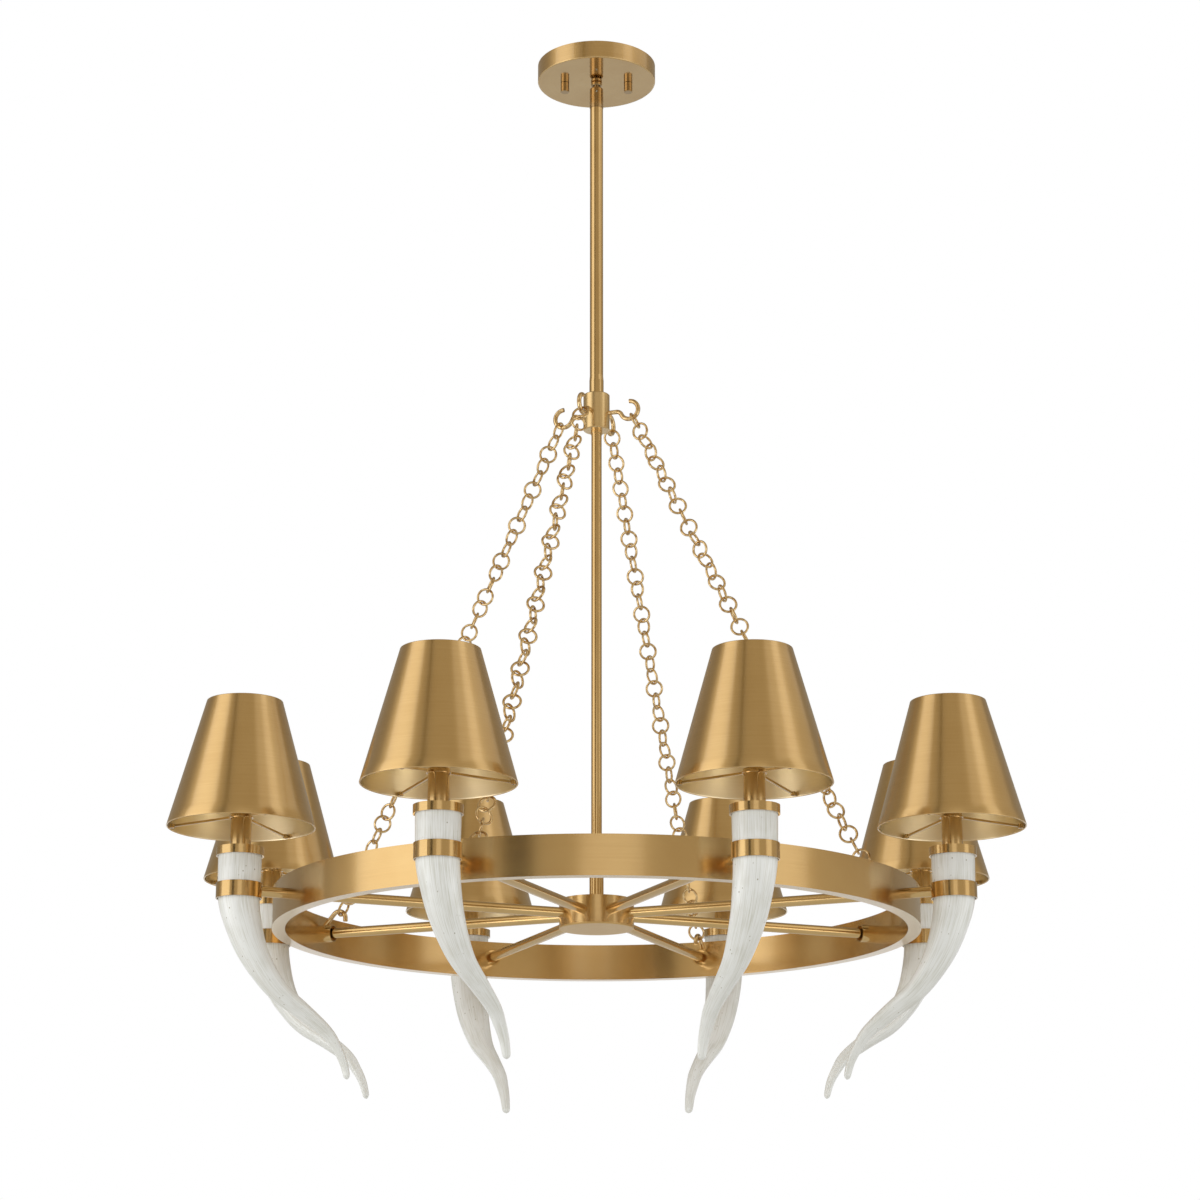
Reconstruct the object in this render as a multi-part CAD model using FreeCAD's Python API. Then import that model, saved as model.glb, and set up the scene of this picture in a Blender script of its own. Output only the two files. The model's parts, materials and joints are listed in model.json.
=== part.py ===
"""Eight-light ring chandelier, in millimetres, +Z up, hung from the ceiling plane at Z = 0.

The ring hangs on a jointed rod. Four hooked chains run from a collar on the rod to hooks on
the ring. Eight cast horns stand off the ring, and each carries a candle light with a metal shade.
"""
import FreeCAD
import Part

import math
import os

V = FreeCAD.Vector
UP = V(0, 0, 1)
ALONG_X = V(1, 0, 0)
ALONG_Y = V(0, 1, 0)
ORIGIN = V(0, 0, 0)

# General fits
seat_gap = 0.3
running_gap = 0.05
overrun = 1.0

# Layout of the whole fixture
light_count = 8
chain_count = 4
ring_drop = 991.0
first_light_angle = 22.5
first_chain_angle = -112.5

# Ceiling canopy, its strap, studs and knobs
canopy_diameter = 135.5
canopy_height = 20.6
canopy_sheet = 1.0
canopy_edge_radius = 1.5
strap_length = 112.0
strap_width = 20.0
strap_thickness = 2.0
box_screw_spacing = 88.9
box_screw_hole = 4.8
stud_spacing = 73.0
stud_diameter = 4.0
stud_nut_across_flats = 7.0
stud_nut_height = 3.2
knob_diameter = 10.0
knob_length = 11.7
knob_edge = 0.6
knob_wall_under_stud = 2.5

# Hang-straight swivel under the canopy
nipple_diameter = 9.5
nipple_bore = 6.0
nipple_grip = 10.0
lock_nut_across_flats = 14.0
lock_nut_height = 4.0
knuckle_diameter = 13.0
knuckle_height = 4.6
knuckle_edge = 1.0
neck_diameter = 6.0
sleeve_drop = 7.1
sleeve_diameter = 15.8
sleeve_length = 25.8
sleeve_wall = 1.0
sleeve_roof = 1.3
sleeve_round = 2.0
sleeve_mouth = 11.6
sleeve_lip_height = 1.2
sleeve_lip_step = 0.4
sleeve_web = 3.0
sleeve_wire_hole = 5.0
pivot_below_mouth = 6.5
cavity_below_pivot = 5.5
fork_gap = 5.2
fork_ear_thickness = 1.6
fork_ear_width = 4.8
fork_bridge_rise = 3.0
fork_shoulder_height = 2.2
cross_ball_diameter = 5.0
trunnion_diameter = 2.4

# Rods, coupling and the collar that the upper hooks screw into
upper_rod_diameter = 15.0
upper_rod_length = 326.5
coupling_diameter = 16.0
coupling_length = 22.6
coupling_taper = 6.0
collar_diameter = 29.4
collar_length = 42.5
collar_edge = 1.0
bushing_diameter = 13.0
bushing_length = 4.4
lower_rod_diameter = 11.5
lower_rod_engagement = 15.0
foot_sleeve_diameter = 15.2
foot_sleeve_length = 49.5

# Hub
hub_diameter = 80.0
hub_height = 31.0
hub_wall = 3.0
hub_cover_thickness = 2.0
hub_cover_edge = 0.8
hub_spigot_height = 3.0
hub_spigot_wall = 1.5

# Ring, spokes, barrels and arms
ring_outer_diameter = 690.0
ring_section_width = 14.0
ring_height = 40.6
spoke_diameter = 11.0
barrel_diameter = 19.5
barrel_length = 15.5
barrel_wall = 1.5
barrel_cup_depth = 6.5
arm_diameter = 10.9
arm_bore = 6.2
stud_tube_diameter = 6.0
stud_tube_bore = 4.0
stud_tube_grip = 7.0

# Hooks and chains
hook_wire = 5.0
upper_hook_rise = 19.3
upper_hook_shank = 9.5
upper_hook_loop_radius = 10.4
upper_hook_loop_reach = 25.0
upper_hook_loop_height = 0.3
upper_hook_tip_angle = 90.0
upper_hook_depth = 5.0
lower_hook_loop_radius = 8.0
lower_hook_loop_reach = 22.0
lower_hook_loop_height = 16.0
lower_hook_tip_length = 3.5
lower_hook_root_reach = 5.8
lower_hook_depth = 3.5
link_wire = 2.7
link_inner_diameter = 14.9
link_sides = 6
link_gap = 0.45
chain_sag = 2.0
chain_twist_swing = 6.0
chain_twist_waves = 3.5

# Horn, its bands and the candle light
horn_top_height = 41.9
horn_top_diameter = 45.2
horn_reach = 128.0
horn_drop = 184.5
horn_stand_off = 49.9
horn_tip_round = 2.4
horn_bore = 9.9
horn_bore_below_arm = 3.0
band_height = 15.9
band_drop = 1.25
band_thickness = 1.3
cap_height = 8.8
cap_sheet = 1.6
candle_diameter = 21.5
candle_wall = 0.9
candle_height = 31.2
holder_diameter = 16.4
holder_stand = 5.4
holder_thread_diameter = 12.0
holder_thread_depth = 20.0
candle_nipple_length = 30.0

# Shade, its spider and the ring that clamps it
shade_bottom_diameter = 153.0
shade_top_diameter = 78.6
shade_height = 133.0
shade_sheet = 0.8
shade_below_candle = 10.1
spider_disc_diameter = 25.0
spider_disc_thickness = 1.0
spider_bar = 2.2
spider_bar_count = 3
spider_foot_rise = 2.6
spider_foot_diameter = 5.0
spider_foot_bore = 2.2
spider_foot_height = 4.2
clamp_ring_diameter = 22.0
clamp_ring_height = 3.4

# Horn shape from its top down: shares of the reach, of the drop and of the two widths of its section.
# A drop share below zero is above the ring's middle.
horn_reach_shares = (0, 0, 0, 0, 0.005, 0.04, 0.11, 0.215, 0.37, 0.61, 0.81, 0.9, 0.955, 0.985, 1)
horn_drop_shares = (-0.228, -0.17, -0.11, -0.02, 0.07, 0.17, 0.3, 0.42,
                    0.54, 0.65, 0.75, 0.83, 0.895, 0.955, 1)
horn_plane_width_shares = (0.985, 0.985, 0.98, 0.965, 0.92, 0.845, 0.73, 0.61,
                           0.5, 0.395, 0.305, 0.245, 0.205, 0.175, 0.15)
horn_cross_width_shares = (0.985, 0.985, 0.98, 0.965, 0.95, 0.92, 0.86, 0.765,
                           0.635, 0.5, 0.395, 0.32, 0.265, 0.225, 0.195)
horn_width_share_at_band = 0.97

# Links of each chain that hang square before it starts to wind, and the half turns that it then makes
chain_square_links = (0, 0, 8, 0)
chain_half_turns = (7, 2, 5, 7)

# Small turns of single pieces about their own light, as they hang in the photographed one
horn_yaw_angles = (3.0, 1.0, 0.0, -3.0, 9.0, -7.5, 0.0, -10.0)
spider_turn_angles = (0.0, 0.0, 0.0, 0.0, -26.0, -3.5, 2.5, 27.0)

# Radii and heights that several pieces share
canopy_floor_top = -canopy_height + canopy_sheet
stud_radius = stud_diameter / 2
nipple_radius = nipple_diameter / 2
threaded_bore = nipple_radius + running_gap
trunnion_radius = trunnion_diameter / 2
sleeve_radius = sleeve_diameter / 2
sleeve_top = -canopy_height - sleeve_drop
sleeve_bottom = sleeve_top - sleeve_length
pivot_height = sleeve_top - pivot_below_mouth
upper_rod_bottom = sleeve_bottom - upper_rod_length
collar_top = upper_rod_bottom - coupling_length
collar_bottom = collar_top - collar_length
collar_radius = collar_diameter / 2
hook_radius = hook_wire / 2
hook_shank_height = collar_bottom + upper_hook_rise
lower_rod_radius = lower_rod_diameter / 2
lower_rod_top = collar_bottom + lower_rod_engagement
ring_mid = -ring_drop
ring_outer_radius = ring_outer_diameter / 2
ring_inner_radius = ring_outer_radius - ring_section_width
light_pitch_radius = ring_outer_radius + horn_stand_off
hub_radius = hub_diameter / 2
hub_top = ring_mid + hub_height / 2
hub_bottom = hub_top - hub_height
hub_rebate = hub_bottom + hub_cover_thickness
spoke_radius = spoke_diameter / 2
barrel_mouth = ring_inner_radius - barrel_length
barrel_floor = barrel_mouth + barrel_cup_depth
barrel_seat = math.sqrt(ring_inner_radius ** 2 - (barrel_diameter / 2) ** 2)
arm_radius = arm_diameter / 2
stud_tube_radius = stud_tube_diameter / 2
horn_top = ring_mid + horn_top_height
horn_top_radius = horn_top_diameter / 2
band_top = ring_mid - band_drop + band_height / 2
band_inner_radius = horn_top_radius * horn_width_share_at_band + seat_gap
band_radius = band_inner_radius + band_thickness
cap_top = horn_top + cap_sheet
cap_radius = horn_top_radius + seat_gap + cap_sheet
candle_top = cap_top + candle_height
holder_top = candle_top + holder_stand
holder_radius = holder_diameter / 2
shade_bottom = candle_top - shade_below_candle
disc_radius = spider_disc_diameter / 2
link_radius = link_wire / 2
light_angles = [first_light_angle + 360 / light_count * n for n in range(light_count)]
chain_angles = [first_chain_angle + 360 / chain_count * n for n in range(chain_count)]


def turned(outline):
    """A solid turned about Z from a closed outline of (radius, height) pairs."""
    points = [V(radius, 0, height) for radius, height in outline]
    face = Part.Face(Part.makePolygon(points + points[:1]))
    return face.revolve(ORIGIN, UP, 360)


def pipe(radius, bore_radius, bottom, top):
    """A straight round tube about Z."""
    return turned([(bore_radius, bottom), (radius, bottom), (radius, top), (bore_radius, top)])


def rod_x(radius, start, end, height=0.0):
    """A round bar along X."""
    return Part.makeCylinder(radius, end - start, V(start, 0, height), ALONG_X)


def box(low, high):
    """A box between two opposite corners."""
    return Part.makeBox(high[0] - low[0], high[1] - low[1], high[2] - low[2], V(*low))


def turned_to(shape, angle):
    """A copy of a shape turned about the fixture's axis."""
    copy = shape.copy()
    copy.rotate(ORIGIN, UP, angle)
    return copy


def all_round(shape, angles):
    """Copies of a shape at each of the angles, as one group of separate solids."""
    return Part.makeCompound([turned_to(shape, angle) for angle in angles])


def at_light(shape):
    """A shape made about the Z axis, moved out to the first light's place on the X axis."""
    copy = shape.copy()
    copy.translate(V(light_pitch_radius, 0, 0))
    return copy


def hexagon_nut(across_flats, height, bore_radius, bottom):
    """A plain hexagon nut about Z."""
    corner = across_flats / math.sqrt(3)
    points = [V(corner * math.cos(math.radians(60 * n)), corner * math.sin(math.radians(60 * n)), bottom)
              for n in range(7)]
    prism = Part.Face(Part.makePolygon(points)).extrude(UP * height)
    return prism.cut(Part.makeCylinder(bore_radius, height, V(0, 0, bottom)))


def make_strap():
    """Crossbar that screws to the ceiling box, with two tapped holes for the canopy studs."""
    half_length, half_width = strap_length / 2, strap_width / 2
    strap = box((-half_length, -half_width, -strap_thickness), (half_length, half_width, 0))
    holes = [(box_screw_spacing / 2, box_screw_hole / 2), (stud_spacing / 2, stud_radius + running_gap)]
    for place, radius in holes:
        for side in (-1, 1):
            drill = Part.makeCylinder(radius, strap_thickness + 2 * overrun,
                                      V(side * place, 0, -strap_thickness - overrun))
            strap = strap.cut(drill)
    return strap


def on_stud_places(shape):
    """A shape made about Z, repeated at the two canopy studs."""
    copies = []
    for side in (-1, 1):
        copy = shape.copy()
        copy.translate(V(side * stud_spacing / 2, 0, 0))
        copies.append(copy)
    return copies


def make_canopy():
    """Shallow round cup against the ceiling, with holes for the nipple and the studs."""
    radius = canopy_diameter / 2
    inner = radius - canopy_sheet
    corner = canopy_edge_radius
    canopy = turned([(threaded_bore, -canopy_height), (radius, -canopy_height), (radius, 0), (inner, 0),
                     (inner, canopy_floor_top), (threaded_bore, canopy_floor_top)])
    rim = [edge for edge in canopy.Edges if edge.BoundBox.ZMax < -canopy_height + seat_gap
           and edge.BoundBox.XLength > 2 * inner]
    canopy = canopy.makeFillet(corner, rim)
    hole = Part.makeCylinder(stud_radius + seat_gap, canopy_height, V(0, 0, -canopy_height - overrun))
    for drill in on_stud_places(hole):
        canopy = canopy.cut(drill)
    return canopy


def make_studs():
    """Two screws that hang from the strap and pass through the canopy."""
    end = canopy_height + knob_length - knob_wall_under_stud - seat_gap
    return Part.makeCompound(on_stud_places(Part.makeCylinder(stud_radius, end, V(0, 0, -end))))


def make_stud_nuts():
    """Nuts that lock the two screws under the strap."""
    nut = hexagon_nut(stud_nut_across_flats, stud_nut_height, stud_radius + running_gap,
                      -strap_thickness - stud_nut_height)
    return Part.makeCompound(on_stud_places(nut))


def make_knob(side):
    """Blind threaded knob that draws the canopy up to the ceiling."""
    radius, bore = knob_diameter / 2, stud_radius + running_gap
    top = -canopy_height - seat_gap
    bottom = -canopy_height - knob_length
    floor = bottom + knob_wall_under_stud
    knob = turned([(0, bottom), (radius - knob_edge, bottom), (radius, bottom + knob_edge), (radius, top),
                   (bore, top), (bore, floor), (0, floor)])
    knob.translate(V(side * stud_spacing / 2, 0, 0))
    return knob


def make_swivel_stem():
    """Threaded nipple, round knuckle and fork: the half of the swivel fixed to the canopy."""
    knuckle, neck = knuckle_diameter / 2, neck_diameter / 2
    knuckle_bottom = -canopy_height - knuckle_height
    ear_outer = fork_gap / 2 + fork_ear_thickness
    shoulder = math.hypot(ear_outer, fork_ear_width / 2)
    bridge = pivot_height + fork_bridge_rise
    ear_bottom = pivot_height - fork_ear_width / 2
    stem = turned([(0, ear_bottom), (shoulder, ear_bottom), (shoulder, bridge),
                   (neck, bridge + fork_shoulder_height),
                   (neck, knuckle_bottom), (knuckle - knuckle_edge, knuckle_bottom),
                   (knuckle, knuckle_bottom + knuckle_edge), (knuckle, -canopy_height - knuckle_edge),
                   (knuckle - knuckle_edge, -canopy_height), (nipple_radius, -canopy_height),
                   (nipple_radius, canopy_floor_top + nipple_grip), (0, canopy_floor_top + nipple_grip)])
    slot = box((-fork_gap / 2, -shoulder, ear_bottom - overrun), (fork_gap / 2, shoulder, bridge))
    stem = stem.cut(slot)
    for low, high in ((-shoulder, -fork_ear_width / 2), (fork_ear_width / 2, shoulder)):
        stem = stem.cut(box((-shoulder, low, ear_bottom - overrun), (shoulder, high, bridge)))
    return stem.cut(rod_x(trunnion_radius + running_gap, -knuckle, knuckle, pivot_height))


def make_lock_nut():
    """Nut inside the canopy that clamps the swivel to it."""
    return hexagon_nut(lock_nut_across_flats, lock_nut_height, threaded_bore, canopy_floor_top)


def make_swivel_cross():
    """Ball with four trunnions, two in the fork's ears and two in the sleeve's wall."""
    reach_x = fork_gap / 2 + fork_ear_thickness
    reach_y = sleeve_radius - running_gap
    cross = Part.makeSphere(cross_ball_diameter / 2, V(0, 0, pivot_height))
    cross = cross.fuse(rod_x(trunnion_radius, -reach_x, reach_x, pivot_height))
    return cross.fuse(Part.makeCylinder(trunnion_radius, 2 * reach_y, V(0, -reach_y, pivot_height), ALONG_Y))


def make_swivel_sleeve():
    """Round-topped sleeve that swings on the cross and takes the rod's threaded nipple."""
    cavity = sleeve_radius - sleeve_wall
    floor = pivot_height - cavity_below_pivot
    lip = sleeve_bottom + sleeve_lip_height
    sleeve = turned([(sleeve_mouth / 2, sleeve_top), (sleeve_radius, sleeve_top), (sleeve_radius, lip),
                     (sleeve_radius - sleeve_lip_step, lip), (sleeve_radius - sleeve_lip_step, sleeve_bottom),
                     (threaded_bore, sleeve_bottom), (threaded_bore, floor - sleeve_web),
                     (sleeve_wire_hole / 2, floor - sleeve_web), (sleeve_wire_hole / 2, floor),
                     (cavity, floor), (cavity, sleeve_top - sleeve_roof),
                     (sleeve_mouth / 2, sleeve_top - sleeve_roof)])
    shoulder = [edge for edge in sleeve.Edges if edge.BoundBox.ZMin > sleeve_top - running_gap
                and edge.BoundBox.XLength > sleeve_mouth + sleeve_wall]
    sleeve = sleeve.makeFillet(sleeve_round, shoulder)
    return sleeve.cut(Part.makeCylinder(trunnion_radius + running_gap, 2 * sleeve_diameter,
                                        V(0, -sleeve_diameter, pivot_height), ALONG_Y))


def make_upper_rod():
    """Upper hanging rod, a tube from the swivel to the coupling."""
    return pipe(upper_rod_diameter / 2, threaded_bore, upper_rod_bottom, sleeve_bottom)


def make_rod_nipples():
    """Threaded tubes that join the sleeve to the rod, and the rod to the collar."""
    top_one = pipe(nipple_radius, nipple_bore / 2, sleeve_bottom - nipple_grip, sleeve_bottom + nipple_grip)
    low_one = pipe(nipple_radius, nipple_bore / 2, collar_top - nipple_grip, upper_rod_bottom + nipple_grip)
    return Part.makeCompound([top_one, low_one])


def make_coupling():
    """Taper-topped coupling between the upper rod and the hook collar."""
    radius = coupling_diameter / 2
    return turned([(threaded_bore, collar_top), (radius, collar_top),
                   (radius, upper_rod_bottom - coupling_taper),
                   (upper_rod_diameter / 2, upper_rod_bottom), (threaded_bore, upper_rod_bottom)])


def make_collar():
    """Heavy collar on the rod, drilled round its side for the four upper hooks."""
    socket = lower_rod_radius + running_gap
    rim = collar_radius - collar_edge
    collar = turned([(socket, collar_bottom), (rim, collar_bottom),
                     (collar_radius, collar_bottom + collar_edge), (collar_radius, collar_top - collar_edge),
                     (rim, collar_top), (threaded_bore, collar_top),
                     (threaded_bore, lower_rod_top), (socket, lower_rod_top)])
    drill = rod_x(hook_radius + running_gap, collar_radius - upper_hook_depth, collar_diameter,
                  hook_shank_height)
    for angle in chain_angles:
        collar = collar.cut(turned_to(drill, angle))
    return collar


def make_bushing():
    """Ring that clamps the lower rod where it enters the collar."""
    bore = lower_rod_radius + running_gap
    return pipe(bushing_diameter / 2, bore, collar_bottom - bushing_length, collar_bottom)


def make_lower_rod():
    """Lower hanging rod, a tube from the collar down into the hub."""
    return pipe(lower_rod_radius, threaded_bore, hub_top - hub_wall, lower_rod_top)


def make_foot_sleeve():
    """Sleeve over the lower rod that stands on the hub."""
    bore = lower_rod_radius + running_gap
    return pipe(foot_sleeve_diameter / 2, bore, hub_top, hub_top + foot_sleeve_length)


def make_hub_body():
    """Round wiring box that the rod enters from above and the spokes from the side."""
    inner = hub_radius - hub_wall
    rod_hole = lower_rod_radius + running_gap
    hub = turned([(rod_hole, hub_top - hub_wall), (rod_hole, hub_top), (hub_radius, hub_top),
                  (hub_radius, hub_rebate), (inner, hub_rebate), (inner, hub_top - hub_wall)])
    drill = rod_x(spoke_radius + running_gap, inner - overrun, hub_radius + overrun, ring_mid)
    for angle in light_angles:
        hub = hub.cut(turned_to(drill, angle))
    return hub


def make_hub_cover():
    """Cover under the hub, with a ring on it that fits inside the body."""
    spigot = hub_radius - hub_wall - running_gap
    top = hub_rebate + hub_spigot_height
    return turned([(0, hub_bottom), (hub_radius - hub_cover_edge, hub_bottom),
                   (hub_radius, hub_bottom + hub_cover_edge), (hub_radius, hub_rebate), (spigot, hub_rebate),
                   (spigot, top), (spigot - hub_spigot_wall, top), (spigot - hub_spigot_wall, hub_rebate),
                   (0, hub_rebate)])


def make_ring():
    """The big ring, with a hole at each spoke for the threaded tube and the wires."""
    half = ring_height / 2
    ring = turned([(ring_inner_radius, ring_mid - half), (ring_outer_radius, ring_mid - half),
                   (ring_outer_radius, ring_mid + half), (ring_inner_radius, ring_mid + half)])
    drill = rod_x(stud_tube_radius + running_gap, ring_inner_radius - overrun, ring_outer_radius + overrun,
                  ring_mid)
    for angle in light_angles:
        ring = ring.cut(turned_to(drill, angle))
    return ring


def make_spoke():
    """Tube from the hub's chamber to the bottom of the barrel on the ring."""
    start = hub_radius - hub_wall
    spoke = rod_x(spoke_radius, start, barrel_floor, ring_mid)
    return spoke.cut(rod_x(stud_tube_radius, start - overrun, barrel_floor + overrun, ring_mid))


def make_barrel():
    """Open cup that ties a spoke to the ring's inner face."""
    radius = barrel_diameter / 2
    barrel = rod_x(radius, barrel_mouth, barrel_seat, ring_mid)
    barrel = barrel.cut(rod_x(radius - barrel_wall, barrel_mouth - overrun, barrel_floor, ring_mid))
    return barrel.cut(rod_x(stud_tube_radius + running_gap, barrel_floor - overrun,
                            ring_inner_radius + overrun, ring_mid))


def make_barrels():
    """The eight barrels; the four under the chains are tapped for a lower hook."""
    tap = make_lower_hook_root(hook_radius + running_gap)
    hooked = make_barrel().cut(tap)
    barrels = []
    for number, angle in enumerate(light_angles):
        is_hooked = any(abs((angle - other) % 360) < running_gap for other in chain_angles)
        barrels.append(turned_to(hooked if is_hooked else make_barrel(), angle))
    return Part.makeCompound(barrels)


def make_stud_tubes():
    """Threaded tubes through the ring, each from a barrel into an arm."""
    end = ring_outer_radius + stud_tube_grip
    tube = rod_x(stud_tube_radius, barrel_floor, end, ring_mid)
    bore = rod_x(stud_tube_bore / 2, barrel_floor - overrun, end + overrun, ring_mid)
    return all_round(tube.cut(bore), light_angles)


def make_arm():
    """Short tube from the ring through the band into the horn."""
    end = light_pitch_radius - horn_bore / 2
    arm = rod_x(arm_radius, ring_outer_radius, end, ring_mid)
    return arm.cut(rod_x(arm_bore / 2, ring_outer_radius - overrun, end + overrun, ring_mid))


def hook_solid(edges, start, direction):
    """A round bar bent along a smooth path of edges."""
    circle = Part.Wire(Part.makeCircle(hook_radius, start, direction))
    bar = Part.Wire(edges).makePipeShell([circle], True, False)
    return bar


def arc_about(centre, radius, start_angle, end_angle):
    """An arc in the XZ plane, by its centre, radius and two angles from +X towards +Z."""
    points = []
    for share in (0.0, 0.5, 1.0):
        turn = math.radians(start_angle + (end_angle - start_angle) * share)
        points.append(centre + V(radius * math.cos(turn), 0, radius * math.sin(turn)))
    return Part.Arc(*points).toShape()


upper_loop_centre = V(collar_radius + upper_hook_loop_reach, 0, hook_shank_height + upper_hook_loop_height)
lower_loop_centre = V(ring_inner_radius - lower_hook_loop_reach, 0, ring_mid + lower_hook_loop_height)


def make_upper_hook():
    """Bar that leaves the collar level, dips and curls up into an open loop."""
    bend_start = collar_radius + upper_hook_shank
    reach = upper_loop_centre.x - bend_start
    rise, loop = upper_hook_loop_height, upper_hook_loop_radius
    bend = (reach ** 2 + rise ** 2 - loop ** 2) / (2 * (loop - rise))
    bend_centre = V(bend_start, 0, hook_shank_height - bend)
    lean = math.degrees(math.atan2(rise + bend, reach))
    start = V(collar_radius - upper_hook_depth, 0, hook_shank_height)
    edges = [Part.LineSegment(start, V(bend_start, 0, hook_shank_height)).toShape(),
             arc_about(bend_centre, bend, 90, lean),
             arc_about(upper_loop_centre, loop, 180 + lean, 360 + upper_hook_tip_angle)]
    return hook_solid(edges, start, ALONG_X)


def lower_hook_root():
    """Where the lower hook's shank starts, where it meets the loop, and the loop angle there."""
    foot = V(ring_inner_radius - lower_hook_root_reach, 0, ring_mid + barrel_diameter / 2)
    to_foot = foot - lower_loop_centre
    turn = math.atan2(to_foot.z, to_foot.x) + math.acos(lower_hook_loop_radius / to_foot.Length)
    meet = lower_loop_centre + V(math.cos(turn), 0, math.sin(turn)) * lower_hook_loop_radius
    along = (meet - foot).normalize()
    return foot - along * lower_hook_depth, meet, math.degrees(turn)


def make_lower_hook_root(radius):
    """The straight shank of a lower hook, at a given radius."""
    start, meet, lean = lower_hook_root()
    return Part.makeCylinder(radius, (meet - start).Length, start, meet - start)


def make_lower_hook():
    """Bar that leans in from the top of a barrel and curls over into a downward hook."""
    start, meet, lean = lower_hook_root()
    left = lower_loop_centre - V(lower_hook_loop_radius, 0, 0)
    edges = [Part.LineSegment(start, meet).toShape(),
             arc_about(lower_loop_centre, lower_hook_loop_radius, lean, 180),
             Part.LineSegment(left, left - V(0, 0, lower_hook_tip_length)).toShape()]
    return hook_solid(edges, start, meet - start)


def link_at(centre, along, across, path_radius):
    """One chain link: a ring of square bar with few sides, long axis along the chain."""
    normal = along.cross(across)
    rings = []
    for corner in range(link_sides):
        turn = 2 * math.pi * corner / link_sides
        out = along * math.cos(turn) + across * math.sin(turn)
        middle = centre + out * path_radius
        rings.append([middle + out * link_radius, middle + normal * link_radius,
                      middle - out * link_radius, middle - normal * link_radius])
    faces = []
    for corner in range(link_sides):
        ring, after = rings[corner], rings[(corner + 1) % link_sides]
        for side in range(4):
            other = (side + 1) % 4
            loop = [ring[side], after[side], after[other], ring[other], ring[side]]
            faces.append(Part.Face(Part.makePolygon(loop)))
    return Part.Solid(Part.Shell(faces))


def chain_hang_points():
    """The middle of the hook bar at each end of a chain, in the plane of the first one."""
    chord = (lower_loop_centre - upper_loop_centre).normalize()
    return (upper_loop_centre + chord * upper_hook_loop_radius,
            lower_loop_centre - chord * lower_hook_loop_radius)


def make_chain(square_links, half_turns):
    """A chain of round links with a slight sag, each link turned to thread the next, winding as it falls."""
    top, bottom = chain_hang_points()
    span = (bottom - top).Length
    chord = (bottom - top).normalize()
    sideways = chord.cross(ALONG_Y).normalize()
    if sideways.z > 0:
        sideways = sideways * -1
    arc_length = span + 8 * chain_sag ** 2 / (3 * span)
    taken = arc_length + 2 * hook_radius + link_gap
    count = 2 * round((taken / (link_inner_diameter - link_gap) - 1) / 2) + 1
    pitch = taken / count
    path_radius = (pitch + link_wire + link_gap) / 2
    first = path_radius - hook_radius - link_radius - link_gap
    links = []
    for number in range(count):
        share = (first + number * pitch) / arc_length
        centre = top + chord * (share * span) + sideways * (4 * chain_sag * share * (1 - share))
        along = (chord * span + sideways * (4 * chain_sag * (1 - 2 * share))).normalize()
        across = along.cross(ALONG_Y).normalize() if number % 2 else V(ALONG_Y)
        wound = max(0, number - square_links) / (count - 1 - square_links)
        sway = chain_twist_swing * math.sin(2 * math.pi * chain_twist_waves * number / (count - 1))
        twist = 180 * half_turns * wound + sway
        across = FreeCAD.Rotation(along, twist).multVec(across)
        links.append(link_at(centre, along, across, path_radius))
    return Part.makeCompound(links)


def horn_sections():
    """Middle, direction and two half widths of each section down the horn, light axis at X = 0."""
    middles = [V(-horn_reach * reach, 0, ring_mid - horn_drop * drop)
               for reach, drop in zip(horn_reach_shares, horn_drop_shares)]
    middles[0] = V(0, 0, horn_top)
    sections = []
    for place, middle in enumerate(middles):
        before, after = middles[max(place - 1, 0)], middles[min(place + 1, len(middles) - 1)]
        sections.append((middle, (after - before).normalize(),
                         horn_top_radius * horn_plane_width_shares[place],
                         horn_top_radius * horn_cross_width_shares[place]))
    return sections


def section_wire(middle, along, plane_half, cross_half):
    """An oval section square to the horn's direction."""
    across = ALONG_Y.cross(along).normalize()
    if abs(plane_half - cross_half) < running_gap:
        curve = Part.Circle(middle, along, cross_half)
        return Part.Wire(curve.toShape())
    if plane_half > cross_half:
        ellipse = Part.Ellipse(middle + across * plane_half, middle + ALONG_Y * cross_half, middle)
    else:
        ellipse = Part.Ellipse(middle + ALONG_Y * cross_half, middle + across * plane_half, middle)
    return Part.Wire(ellipse.toShape())


def make_horn_blank():
    """Cast horn: an oval that drops straight, then curls in towards the axis and thins to its tip."""
    wires = [section_wire(*section) for section in horn_sections()]
    blank = Part.makeLoft(wires, True, False)
    lowest = min(face.CenterOfMass.z for face in blank.Faces)
    tip = [face for face in blank.Faces if face.CenterOfMass.z < lowest + running_gap]
    return blank.makeFillet(horn_tip_round, tip[0].Edges)


def make_horn(blank, yaw):
    """A horn turned a little about its own top, bored for the threaded tube and for the arm."""
    horn = turned_to(blank, yaw)
    floor = ring_mid - arm_radius - horn_bore_below_arm
    bore = Part.makeCylinder(horn_bore / 2, horn_top + overrun - floor, V(0, 0, floor))
    side_bore = rod_x(arm_radius + running_gap, -horn_top_diameter, 0, ring_mid)
    return horn.cut(bore).cut(side_bore)


def make_band():
    """Metal band round the horn that the arm enters."""
    band = pipe(band_radius, band_inner_radius, band_top - band_height, band_top)
    return band.cut(rod_x(arm_radius + running_gap, -2 * band_radius, 0, ring_mid))


def make_cap():
    """Metal cap over the horn's top, with a hole for the threaded tube."""
    return turned([(threaded_bore, horn_top), (cap_radius - cap_sheet, horn_top),
                   (cap_radius - cap_sheet, cap_top - cap_height), (cap_radius, cap_top - cap_height),
                   (cap_radius, cap_top), (threaded_bore, cap_top)])


def make_candle():
    """Metal sleeve that hides the lamp holder."""
    return pipe(candle_diameter / 2, candle_diameter / 2 - candle_wall, cap_top, candle_top)


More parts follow.
